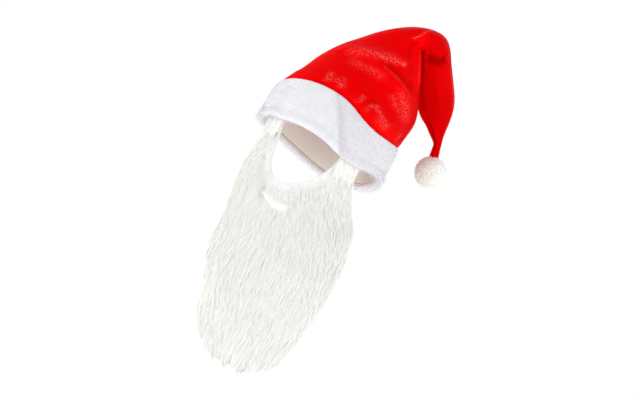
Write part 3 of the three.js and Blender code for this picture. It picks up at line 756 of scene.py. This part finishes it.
    taper = calc("SUBTRACT", 1 + STRAND_END, calc("POWER", t, STRAND_THINS))
    taper = product(taper, out(given, "Thickness"))
    tangent = out(add(tree, "GeometryNodeInputTangent"))
    face = joined(named("stand"), scaled(named("stray"), STRAND_ROLL))
    lean = out(add(tree, "ShaderNodeVectorMath", {0: face, 1: tangent}, operation="DOT_PRODUCT"), "Value")
    face = joined(face, scaled(tangent, product(lean, -1.0)))
    face = out(add(tree, "ShaderNodeVectorMath", {0: face}, operation="NORMALIZE"))
    strands = out(add(tree, "GeometryNodeSetCurveNormal", {"Curve": strands, "Normal": face}, mode="FREE"))
    wires = {"Resolution": 3, "Radius": 0.5}
    round_section = add(tree, "GeometryNodeCurvePrimitiveCircle", wires, mode="RADIUS")
    flat_section = add(tree, "GeometryNodeCurvePrimitiveLine", {"Start": (0, -0.5, 0), "End": (0, 0.5, 0)})
    choice = {"Switch": out(given, "Flat Strands"), "False": out(round_section), "True": out(flat_section)}
    section = add(tree, "GeometryNodeSwitch", choice, input_type="GEOMETRY")
    wires = {"Curve": strands, "Profile Curve": out(section), "Scale": taper, "Fill Caps": True}
    strands = out(add(tree, "GeometryNodeCurveToMesh", wires))
    strands = out(add(tree, "GeometryNodeSetShadeSmooth", {"Geometry": strands}))
    strands = out(add(tree, "GeometryNodeRealizeInstances", {"Geometry": strands}))
    strands = add(tree, "GeometryNodeSetMaterial", {"Geometry": strands, "Material": out(given, "Fur")})
    add(tree, "NodeGroupOutput", {"Strands": out(strands)})
    return tree


def applied(piece):
    """A piece with its modifiers made part of its mesh."""
    evaluated = piece.evaluated_get(bpy.context.evaluated_depsgraph_get())
    mesh = bpy.data.meshes.new_from_object(evaluated)
    piece.modifiers.clear()
    piece.data = mesh
    return piece


def run_nodes(name, mesh, tree, values):
    """A plain mesh piece, made by running a tree of geometry nodes on a mesh with the tree's inputs set."""
    piece = bpy.data.objects.new(name, mesh)
    bpy.context.collection.objects.link(piece)
    modifier = piece.modifiers.new(tree.name, "NODES")
    modifier.node_group = tree
    for item in tree.interface.items_tree:
        if item.name in values:
            modifier[item.identifier] = values[item.name]
    return applied(piece)


def comb_skin(skin, comb, reach, fluff, clump):
    """Sets on a skin the way its strands lie, and their shares of the full length, lift and pull."""
    count = len(skin.vertices)
    store(skin, "comb", np.broadcast_to(comb, (count, 3)))
    store(skin, "reach", np.broadcast_to(reach, count))
    store(skin, "fluff", np.broadcast_to(fluff, count))
    store(skin, "clump", np.broadcast_to(clump, count))


def grow_fur(name, skin, material, values):
    """Fur on a skin mesh, as a piece of its own. What only served to grow it is taken off its points."""
    piece = run_nodes(name, skin, strand_tree, {**values, "Fur": material})
    for attribute in [a.name for a in piece.data.attributes]:
        if attribute in STRAND_WORK or attribute.startswith("lock_"):
            piece.data.attributes.remove(piece.data.attributes[attribute])
    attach(piece, "root")
    return piece


def mesh_points(mesh):
    points = np.zeros(len(mesh.vertices) * 3, np.float32)
    mesh.vertices.foreach_get("co", points)
    normals = np.zeros(len(mesh.vertices) * 3, np.float32)
    mesh.vertex_normals.foreach_get("vector", normals)
    return points.reshape(-1, 3), normals.reshape(-1, 3)


def fur_white(name, colours, painted_shade):
    """Fur coloured from root to tip, each strand a little lighter or darker than the next, with painted shade
    mixed in.
    """
    root, middle, tip = colours
    material, tree, shader = new_material(name)
    way, own = mesh_value(tree, "strand_along"), mesh_value(tree, "strand_shade")
    wires = {"Factor": STRAND_OWN_SHADE, "A": way, "B": own}
    share = out(add(tree, "ShaderNodeMix", wires, data_type="FLOAT"))
    colour = shade_ramp(tree, share, ((0.05, root), (0.5, middle), (0.95, tip)))
    colour = mixed(tree, mesh_value(tree, "painted_shade"), colour, painted_shade)
    tree.links.new(colour, shader.inputs["Base Color"])
    set_finish(shader, {"Roughness": 0.6, "Specular IOR Level": 0.25, "Sheen Weight": 0.15})
    return material


PILE_WHITES = ((0.82, 0.815, 0.84), (0.8, 0.795, 0.82), (0.78, 0.775, 0.8))  # root, middle and tip
PILE_STAND, PILE_FALL = 0.75, 0.45  # how far the pile stands up, and how far it is brushed down
LONG_PILE = (  # angle, spread, millimetres above the lower edge, added length of ragged places
    (-66, 22, 11, 2.6),
    (90, 22, 8, 3.0),
)
strand_tree = fur_tree()
plush_skin = cuff_mesh.copy()
points, normals = mesh_points(plush_skin)
turns = np.arctan2(points[:, 0] / OPENING_HALF_WIDTH, -points[:, 1] / OPENING_HALF_DEPTH)
turns = np.degrees(turns)
height = (points @ np.array([0, math.sin(BRIM_PITCH), math.cos(BRIM_PITCH)])) / MM - cuff_edges(turns)[0]
pile_reach = np.ones(len(points))
for angle, spread, above, added in LONG_PILE:
    pile_reach += added * np.exp(-((wrap(turns - angle) / spread) ** 2) - (height / above) ** 2)
pile_comb = normals * PILE_STAND + np.array([0, 0, -PILE_FALL])
comb_skin(plush_skin, pile_comb, reach=pile_reach, fluff=1, clump=1)
# the pile strands take the cuff's painted shade from its points
plush_pile = fur_white("plush_pile", PILE_WHITES, PLUSH_PAINTED_SHADE)
cuff_pile = grow_fur(
    "cuff_pile",
    plush_skin,
    plush_pile,
    {
        "Strand Density": 190000.0,
        "Lock Density": 20000.0,
        "Length": 0.0024,
        "Shortest Share": 0.5,
        "Shortest Lock": 1.0,
        "Lift": 0.0,
        "Lock Pull": 0.1,
        "Frizz": 0.5,
        "Wave": 0.0,
        "Wave Length": 0.01,
        "Thickness": 0.0005,
        "Flat Strands": False,
        "Points": 2,
        "Seed": 21,
    },
)
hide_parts("cuff")

# Inner band: a beige cloth facing sewn inside the cuff, between its turned-up lip and the crown. A row of
# stitches runs along its lower edge, where it is sewn to the lip.
BAND_LEVELS = 6  # rows of faces up the facing
BAND_SHADE = 0.8  # how far the facing is shaded beside the right sideburn
FACING_BEIGES = ((0.3, (0.95, 0.935, 0.84)), (0.5, (0.97, 0.955, 0.865)), (0.7, (0.98, 0.965, 0.88)))
FACING_SHADED = (0.62, 0.54, 0.46)
STITCH_PROUD, STITCH_UP = 0.2, 1.4  # millimetres the seam lies inside the facing and above its lower edge
low, high = cuff_edges(angles)
band_low, band_high = low + CUFF_LIP + GAP, high - CROWN_TUCK - GAP
band_rings = [brim_point(angles, LINING_CLOTH, level) for level in (band_low, band_high)]
for k in range(BAND_LEVELS + 1):
    band_rings.append(brim_point(angles, 0, band_high + (band_low - band_high) * k / BAND_LEVELS))
shaded = BAND_SHADE * np.interp(angles, [50, 75, 130, 150], [0, 1, 1, 0])
band_values = {"painted_shade": np.broadcast_to(shaded, (len(band_rings), ROUND))}
band_mesh = ring_mesh("inner_band_cloth", np.array(band_rings), looped=True, values=band_values)
facing, tree, shader = new_material("beige_facing")
nap = pile_look(tree, {"Speck Scale": 1400.0, "Patch Scale": 40.0, "Speck Share": 0.35})
beige = shade_ramp(tree, out(nap, "Shade"), FACING_BEIGES)
beige = mixed(tree, mesh_value(tree, "painted_shade"), beige, FACING_SHADED)
tree.links.new(beige, shader.inputs["Base Color"])
raise_nap(tree, shader, nap, strength=0.4, depth=0.0003)
set_finish(shader, {"Roughness": 0.8})
inner_band = show("inner_band_cloth", band_mesh, facing)
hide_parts("inner_band")


def stitch_tree():
    """Geometry nodes: short rounded stitches laid end to end along a closed line."""
    tree = bpy.data.node_groups.new("stitch_row", "GeometryNodeTree")
    tree.interface.new_socket("Line", in_out="INPUT", socket_type="NodeSocketGeometry")
    for name, kind in (
        ("Spacing", "NodeSocketFloat"),
        ("Stitch Length", "NodeSocketFloat"),
        ("Thread Thickness", "NodeSocketFloat"),
        ("Thread", "NodeSocketMaterial"),
    ):
        tree.interface.new_socket(name, in_out="INPUT", socket_type=kind)
    tree.interface.new_socket("Stitches", in_out="OUTPUT", socket_type="NodeSocketGeometry")
    given = add(tree, "NodeGroupInput")
    path = out(add(tree, "GeometryNodeMeshToCurve", {"Mesh": out(given, "Line")}))
    wires = {"Curve": path, "Length": out(given, "Spacing")}
    path = out(add(tree, "GeometryNodeResampleCurve", wires, mode="LENGTH"))
    way = out(add(tree, "GeometryNodeInputTangent"))
    turn = add(tree, "FunctionNodeAlignRotationToVector", {"Vector": way}, axis="Z")
    section = {"Radius": 0.5, "Rings": 7, "Segments": 6}
    bead = out(add(tree, "GeometryNodeMeshUVSphere", section), "Mesh")
    bead = out(add(tree, "GeometryNodeSetShadeSmooth", {"Geometry": bead}))
    thick, long = out(given, "Thread Thickness"), out(given, "Stitch Length")
    size = out(add(tree, "ShaderNodeCombineXYZ", {"X": thick, "Y": thick, "Z": long}))
    placed = {"Points": path, "Instance": bead, "Rotation": out(turn), "Scale": size}
    stitches = out(add(tree, "GeometryNodeInstanceOnPoints", placed))
    stitches = out(add(tree, "GeometryNodeRealizeInstances", {"Geometry": stitches}))
    stitches = add(tree, "GeometryNodeSetMaterial", {"Geometry": stitches, "Material": out(given, "Thread")})
    add(tree, "NodeGroupOutput", {"Stitches": out(stitches)})
    return tree


thread, _, shader = new_material("rose_thread")
set_finish(shader, {"Base Color": (0.68, 0.55, 0.52, 1), "Roughness": 0.7})
seam_line = bpy.data.meshes.new("inner_band_stitches")
seam_points = brim_point(angles, -STITCH_PROUD, band_low + STITCH_UP) * MM
seam_line.from_pydata(seam_points.tolist(), [(i, (i + 1) % ROUND) for i in range(ROUND)], [])
stitch_values = {"Spacing": 0.004, "Stitch Length": 0.0036, "Thread Thickness": 0.0028, "Thread": thread}
stitches = run_nodes("inner_band_stitches", seam_line, stitch_tree(), stitch_values)
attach(stitches, "root")
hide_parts("inner_band")

# Beard: long white faux fur on a knitted backing, cut in one piece with two sideburns, a moustache bridge, an
# opening for the eyes and nose and a slit for the mouth. The sideburns are sewn inside the cuff, and the fur
# hangs in locks.
BACKING_CLOTH = 2.5  # thickness
BEARD_HALF_ARC = math.radians(60)
BACKING_TOP, BACKING_FOOT = -14, 270  # falls, in millimetres below the brim
BACKING_PITCH, EDGE_PITCH = 3.2, 3.0  # between points of the backing, and along its edges
EDGE_CLEAR = 0.6  # share of the pitch kept free beside the edges
GRID_LEFT, GRID_RIGHT = -80, 110  # sides of a grid wider than the beard
BACKING_WHITES = ((0.3, (0.88, 0.885, 0.86)), (0.5, (0.91, 0.915, 0.89)), (0.7, (0.94, 0.945, 0.92)))
BEARD = np.array(  # fall below the brim, middle_x, half_width, front_y, edge_y
    [
        (-20, 0, 60, -91, -52),
        (0, 0, 62, -95, -54),
        (45, 5, 73, -103, -48),
        (68, 12, 79, -107, -48),
        (93, 17, 80, -111, -50),
        (114, 21, 80, -113, -54),
        (159, 23, 80, -114, -62),
        (181, 26, 77, -113, -66),
        (216, 31, 67, -111, -74),
        (237, 32, 62, -110, -79),
        (255, 34, 53, -108, -83),
        (268, 37, 38, -106, -87),
        (280, 40, 24, -104, -92),
        (300, 44, 14, -103, -96),
    ],
    float,
)
FACE_OPENING = np.array(  # x and fall of the eye and nose opening's edge
    [
        (-42, -14),
        (-39, 8),
        (-33, 32),
        (-27, 42.5),
        (-18, 49.5),
        (-6, 50.5),
        (6, 47),
        (21, 34.5),
        (31, 22),
        (38, 8),
        (42, -8),
        (42.3, -14),
    ],
    float,
)
MOUTH = np.array(  # x, fall of the upper lip, fall of the lower lip
    [(-23, 69, 73), (-12, 74.4, 80), (0, 75.8, 82.8), (9, 75.2, 82.8), (16, 73.8, 79)], float
)
TABS = ((-55, -33), (33, 55))  # degrees round the brim of the sideburns' sewn tops
TAB_FOOT, TAB_HEIGHT = -16, 14  # from the cuff's lower edge
TAB_LEVELS, TAB_ACROSS = 9, 13  # points up a tab and across it


def beard_point(u, fall):
    """Point of the beard's sheet, u across it from -1 to 1, in millimetres."""
    middle_x, half_width, front_y, edge_y = np.moveaxis(along(BEARD[:, 0], BEARD[:, 1:], fall), -1, 0)
    front = (np.cos(u * BEARD_HALF_ARC) - math.cos(BEARD_HALF_ARC)) / (1 - math.cos(BEARD_HALF_ARC))
    x = middle_x + half_width * np.sin(u * BEARD_HALF_ARC) / math.sin(BEARD_HALF_ARC)
    return np.stack([x, edge_y + (front_y - edge_y) * front, -fall], -1)


def beard_across(x, fall):
    """u of a place seen from the front."""
    row = along(BEARD[:, 0], BEARD[:, 1:], fall)
    share = np.clip((x - row[..., 0]) / row[..., 1], -1, 1)
    return np.arcsin(share * math.sin(BEARD_HALF_ARC)) / BEARD_HALF_ARC


def smooth_line(points, per):
    """A curve through given points, with so many steps between two of them."""
    keys = np.arange(len(points), dtype=float)
    return along(keys, points, np.linspace(0, len(points) - 1, (len(points) - 1) * per + 1))


def inside(polygon, x, y):
    """Which places lie inside a closed outline."""
    result = np.zeros(x.shape, bool)
    for (ax, ay), (bx, by) in zip(polygon, np.roll(polygon, -1, 0)):
        if ay != by:
            result ^= ((ay > y) != (by > y)) & (x < (bx - ax) * (y - ay) / (by - ay) + ax)
    return result


def gap_to(line, places):
    """How far places lie from the nearest point of a line."""
    return np.min(np.hypot(*(places[:, None] - line[None]).transpose(2, 0, 1)), axis=1)


def side_edge(side):
    """The sheet's edge on one side, seen from the front."""
    falls = np.arange(BACKING_TOP, BACKING_FOOT + 0.1, EDGE_PITCH)
    return np.stack([beard_point(np.full(falls.shape, side), falls)[:, 0], falls], -1)


left_edge, right_edge = side_edge(-1.0), side_edge(1.0)
foot_x = np.arange(left_edge[-1, 0], right_edge[-1, 0], EDGE_PITCH)[1:-1]
foot_edge = np.stack([foot_x, np.full(foot_x.shape, float(BACKING_FOOT))], -1)
face_edge = smooth_line(FACE_OPENING, per=5)
beard_outline = np.vstack([left_edge, foot_edge, right_edge[::-1], face_edge[::-1]])
lips = smooth_line(MOUTH, per=4)
mouth_outline = np.vstack([lips[:, :2], lips[::-1][:, [0, 2]]])
edges = np.vstack([beard_outline, mouth_outline])


def on_backing(places):
    return inside(beard_outline, *places.T) & ~inside(mouth_outline, *places.T)


grid_rows = np.arange(BACKING_TOP, BACKING_FOOT, BACKING_PITCH)
grid_x, grid_fall = np.meshgrid(np.arange(GRID_LEFT, GRID_RIGHT, BACKING_PITCH), grid_rows)
grid_x = grid_x + BACKING_PITCH / 2 * (np.arange(len(grid_x)) % 2)[:, None]
grid = np.stack([grid_x.ravel(), grid_fall.ravel()], -1)
grid = grid[on_backing(grid) & (gap_to(edges, grid) > BACKING_PITCH * EDGE_CLEAR)]
flat_points = np.vstack([edges, grid])
rim, slit = len(beard_outline), len(mouth_outline)
borders = [(i, (i + 1) % rim) for i in range(rim)]
borders += [(rim + i, rim + (i + 1) % slit) for i in range(slit)]
cut = delaunay_2d_cdt([Vector(p) for p in flat_points.tolist()], borders, [], 0, 1e-4)
flat_points = np.array([tuple(p) for p in cut[0]])
triangles = np.array([f for f in cut[2] if len(f) == 3])
triangles = triangles[on_backing(flat_points[triangles].mean(1))]
across = beard_across(*flat_points.T)
sheet_points = beard_point(across, flat_points[:, 1])


def beard_mesh(name, faces):
    """Some of the backing's faces as a mesh that faces forward."""
    used = np.unique(faces)
    renumbered = np.searchsorted(used, faces)
    mesh = bpy.data.meshes.new(name)
    a, b, c = (sheet_points[faces[:, k]] for k in range(3))
    forward = np.cross(b - a, c - a)[:, 1] < 0
    renumbered[~forward] = renumbered[~forward][:, ::-1]
    mesh.from_pydata((sheet_points[used] * MM).tolist(), [], renumbered.tolist())
    mesh.shade_smooth()
    return mesh, used


backing_white, tree, shader = new_material("beard_backing")
nap = pile_look(tree, {"Speck Scale": 1100.0, "Patch Scale": 50.0, "Speck Share": 0.6})
tree.links.new(shade_ramp(tree, out(nap, "Shade"), BACKING_WHITES), shader.inputs["Base Color"])
raise_nap(tree, shader, nap, strength=0.5, depth=0.0005)
set_finish(shader, {"Roughness": 0.9})
backing_mesh, _ = beard_mesh("beard_backing", triangles)
tab_points = []
for start, end in TABS:
    turns = np.linspace(start, end, TAB_ACROSS)
    low = cuff_edges(turns)[0]
    levels = np.linspace(TAB_FOOT, TAB_HEIGHT, TAB_LEVELS)
    tab_points.append([brim_point(turns, -2 * GAP, low + level) for level in levels])
tab_points = np.array(tab_points) * MM
work = bmesh.new()
work.from_mesh(backing_mesh)
for tab in tab_points:
    made = [[work.verts.new(Vector(p)) for p in line] for line in tab]
    for lower, upper in zip(made, made[1:]):
        for k in range(TAB_ACROSS - 1):
            work.faces.new((lower[k], lower[k + 1], upper[k + 1], upper[k]))
work.to_mesh(backing_mesh)
work.free()
backing_mesh.shade_smooth()
backing = show("beard_backing", backing_mesh, backing_white)
wall = backing.modifiers.new("cloth", "SOLIDIFY")
wall.thickness = BACKING_CLOTH * MM
wall.offset = -1
applied(backing)
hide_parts("beard")

FUR_LENGTH = 40  # millimetres, the longest strands
FUR_FOOT = 290  # fall of the lowest strands' ends
# Roots are painted lighter against the shade deep in the fur, and tips darker as painted shade strokes.
FUR_WHITES = ((0.985, 0.985, 0.96), (0.955, 0.96, 0.925), (0.89, 0.895, 0.855))  # root, middle and tip
FUR_PAINTED_SHADE = (0.76, 0.765, 0.735)  # painted shade, where it lies away from the light
FLARE_WAY = np.array([1.0, 0.35, 0])  # out to the side and a little back
TRIMMED_LEFT, TRIMMED_RIGHT = -25, 21  # the moustache between these is cut short over the mouth
RIM_FLAT = 10  # millimetres beside the face opening over which strands lie flatter
beard_fur = fur_white("beard_fur", FUR_WHITES, FUR_PAINTED_SHADE)
fur_x, fall = flat_points.T

# Strands follow the sheet down and flare out at the sides, where they stand in tufts.
comb = beard_point(across, fall + 1) - beard_point(across, fall - 1)
comb /= np.linalg.norm(comb, axis=1)[:, None]
flare = np.interp(fall, [0, 60, 120, 180], [0.135, 0.16, 0.07, 0.0])
flare = flare + np.where(across > 0, np.interp(fall, [180, 225, 262], [0, 0.08, 0.1]), 0)
swell = np.clip(np.sin(fall / 5.5 + 2 * np.sin(fall / 17)), 0, 1)
tufts = np.where(across < 0, 0.02, 0.07) * swell * np.abs(across) ** 3
comb = comb + FLARE_WAY * (flare * across * np.abs(across) + tufts * across)[:, None]
comb /= np.linalg.norm(comb, axis=1)[:, None]

# They are short beside the face, trimmed over the mouth, and ragged at the foot.
upper_lip = np.interp(fur_x, MOUTH[:, 0], MOUTH[:, 1])
over_mouth = (fur_x > TRIMMED_LEFT) & (fur_x < TRIMMED_RIGHT) & (fall < upper_lip + 1)
reach = np.clip(0.55 + (fall - 20) / 140, 0.55, 1.0)
reach = np.where(over_mouth, np.clip((upper_lip - fall - 0.5) / FUR_LENGTH, 0.05, 0.4), reach)
wisps = 8 * np.sin(fur_x / 2.9) * np.sin(fur_x / 8.3 + 0.7)
reach = np.minimum(reach, np.clip((FUR_FOOT + wisps - fall) / FUR_LENGTH, 0.3, 1.0))
reach = reach * (1 - 0.35 * np.abs(across) ** 6)

# They lie flatter at the sides, at the top and beside the face opening.
edge_fluff = np.interp(fall, [60, 140, 200], [0.2, 0.45, 0.75]) * np.abs(across) ** 5
fluff = np.clip(reach * 1.4, 0, 1) * (1 - edge_fluff)
fluff = fluff * np.clip((fall + 14) / 40, 0.1, 1) * (0.85 + 0.15 * across)
fluff = fluff * np.clip(gap_to(face_edge, flat_points) / RIM_FLAT, 0.25, 1)

# They are loose on the left and drawn into locks on the right, in the middle and at the foot.
middle_locks = np.exp(-(((across - 0.1) / 0.35) ** 2) - ((fall - 140) / 50) ** 2)
clump = np.clip(0.04 + 0.28 * across + fall / 500, 0.03, 0.6) * np.interp(across, [-0.6, 0.1], [0.3, 1])
clump = clump + np.clip((fall - 240) / 40, 0, 0.4) + 0.5 * middle_locks

# Shade is painted on them: a little down the middle, and much more at the foot.
fur_painted_shade = np.interp(fall, [20, 60, 190, 250], [0.8, 1, 1, 0]) * np.exp(-((across / 0.5) ** 2))
fur_painted_shade = 0.17 * fur_painted_shade + 0.9 * np.clip((fall - 258) / 8, 0, 1)

FUR_BANDS = (  # name, from fall, to fall, strands and locks a square metre, shortest lock, lift, seed
    ("beard_fur_face", -20, 92, 900000.0, 90000.0, 0.6, 5.0, 51),
    ("beard_fur_cheek", 92, 150, 900000.0, 90000.0, 0.6, 6.5, 32),
    ("beard_fur_middle", 150, 200, 900000.0, 90000.0, 0.6, 7.0, 33),
    ("beard_fur_tip", 200, 250, 1000000.0, 90000.0, 0.6, 7.0, 34),
    ("beard_fur_foot", 250, 280, 1000000.0, 26000.0, 0.5, 7.0, 36),
)
middle_fall = flat_points[triangles].mean(1)[:, 1]
for name, start, end, density, locks, shortest, lift, seed in FUR_BANDS:
    skin, used = beard_mesh(name, triangles[(middle_fall >= start) & (middle_fall < end)])
    comb_skin(skin, comb[used], reach[used], fluff[used], clump[used])
    # painted shade, carried on the skin's points
    store(skin, "painted_shade", fur_painted_shade[used])
    piece = grow_fur(
        name,
        skin,
        beard_fur,
        {
            "Strand Density": density,
            "Lock Density": locks,
            "Length": FUR_LENGTH * MM,
            "Shortest Share": 0.6,
            "Shortest Lock": shortest,
            "Lift": lift * MM,
            "Lock Pull": 0.65,
            "Lock Stray": 0.1,
            "Frizz": 0.1,
            "Wave": 0.0009,
            "Wave Length": 0.018,
            "Thickness": 0.0009,
            "Flat Strands": True,
            "Points": 6,
            "Seed": seed,
        },
    )
    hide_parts("beard")
tab_skin = bpy.data.meshes.new("beard_fur_tabs")
tab_numbers = np.arange(tab_points.size // 3).reshape(tab_points.shape[:3])
a, b = tab_numbers[:, :-1, :-1], tab_numbers[:, :-1, 1:]
c, d = tab_numbers[:, 1:, 1:], tab_numbers[:, 1:, :-1]
tab_faces = np.stack([a, b, c, d], -1).reshape(-1, 4)
tab_skin.from_pydata(tab_points.reshape(-1, 3).tolist(), [], tab_faces.tolist())
comb_skin(tab_skin, (0.0, -0.12, -1.0), reach=0.45, fluff=0.4, clump=0.3)
tab_fur = grow_fur(
    "beard_fur_tabs",
    tab_skin,
    beard_fur,
    {
        "Strand Density": 900000.0,
        "Lock Density": 16000.0,
        "Length": FUR_LENGTH * MM,
        "Shortest Share": 0.5,
        "Shortest Lock": 0.8,
        "Lift": 0.005,
        "Lock Pull": 0.6,
        "Frizz": 0.06,
        "Wave": 0.0015,
        "Wave Length": 0.03,
        "Thickness": 0.0011,
        "Flat Strands": True,
        "Points": 5,
        "Seed": 35,
    },
)
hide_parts("beard")

# Pompom: a ball of creamy fur, packed tight and tied to the end of the gathered neck. Its short strands stand
# out a little all round and lie over one another where they are brushed down.
POMPOM_MIDDLE = np.array([132, 60, 46])
POMPOM_CORE, POMPOM_REACH = 19.8, 21.5
POMPOM_LIT_FROM = np.array([0.87, 0.15, 0.46])
# The roots are painted a little lighter against the shade deep in the pile.
POMPOM_CREAMS = ((0.975, 0.97, 0.95), (0.965, 0.96, 0.935), (0.955, 0.95, 0.92))  # root, middle and tip
# painted shade colour, for the side away from the light
POMPOM_PAINTED_SHADE = (0.74, 0.71, 0.635)
POMPOM_STAND, POMPOM_BRUSHED, POMPOM_TANGLED = 0.6, 0.35, 0.35  # how far strands stand, lie down and stray
core = bmesh.new()
bmesh.ops.create_icosphere(core, subdivisions=5, radius=POMPOM_CORE * MM)
bmesh.ops.translate(core, verts=core.verts, vec=Vector(POMPOM_MIDDLE * MM))
core_mesh = bpy.data.meshes.new("pompom_core")
core.to_mesh(core_mesh)
core.free()
core_mesh.shade_smooth()
pompom_fur = fur_white("pompom_fur", POMPOM_CREAMS, POMPOM_PAINTED_SHADE)
tree, shader = pompom_fur.node_tree, pompom_fur.node_tree.nodes["Principled BSDF"]
raise_nap(tree, shader, pile_look(tree, {"Speck Scale": 800.0}), strength=0.12, depth=0.0008)
points, normals = mesh_points(core_mesh)
# painted shade on the side of the ball away from the light
store(core_mesh, "painted_shade", np.clip(0.3 - 0.5 * (normals @ POMPOM_LIT_FROM), 0, 0.75))
pompom_skin = core_mesh.copy()
whorl = np.random.default_rng(7).normal(size=points.shape)
whorl -= normals * (whorl * normals).sum(1)[:, None]
whorl /= np.linalg.norm(whorl, axis=1)[:, None]
down, parting = np.array([0, 0, -1.0]), np.array(-to_camera)  # brushed down, from a parting at the back
flow = (1 - normals @ parting)[:, None] * down + (normals @ down)[:, None] * (parting - normals)
flow /= np.maximum(np.linalg.norm(flow, axis=1), 1e-3)[:, None]
pompom_comb = normals * POMPOM_STAND + flow * POMPOM_BRUSHED + whorl * POMPOM_TANGLED
comb_skin(pompom_skin, pompom_comb, reach=1, fluff=1, clump=1)
pompom_core = show("pompom_core", core_mesh, pompom_fur)
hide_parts("pompom")
pompom = grow_fur(
    "pompom_fur",
    pompom_skin,
    pompom_fur,
    {
        "Strand Density": 1600000.0,
        "Lock Density": 90000.0,
        "Length": 2 * (POMPOM_REACH - POMPOM_CORE) * MM,
        "Shortest Share": 0.7,
        "Shortest Lock": 0.9,
        "Lift": 0.0,
        "Lock Pull": 0.15,
        "Frizz": 0.25,
        "Wave": 0.0002,
        "Wave Length": 0.008,
        "Thickness": 0.0005,
        "Flat Strands": True,
        "Points": 4,
        "Seed": 41,
    },
)
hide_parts("pompom")
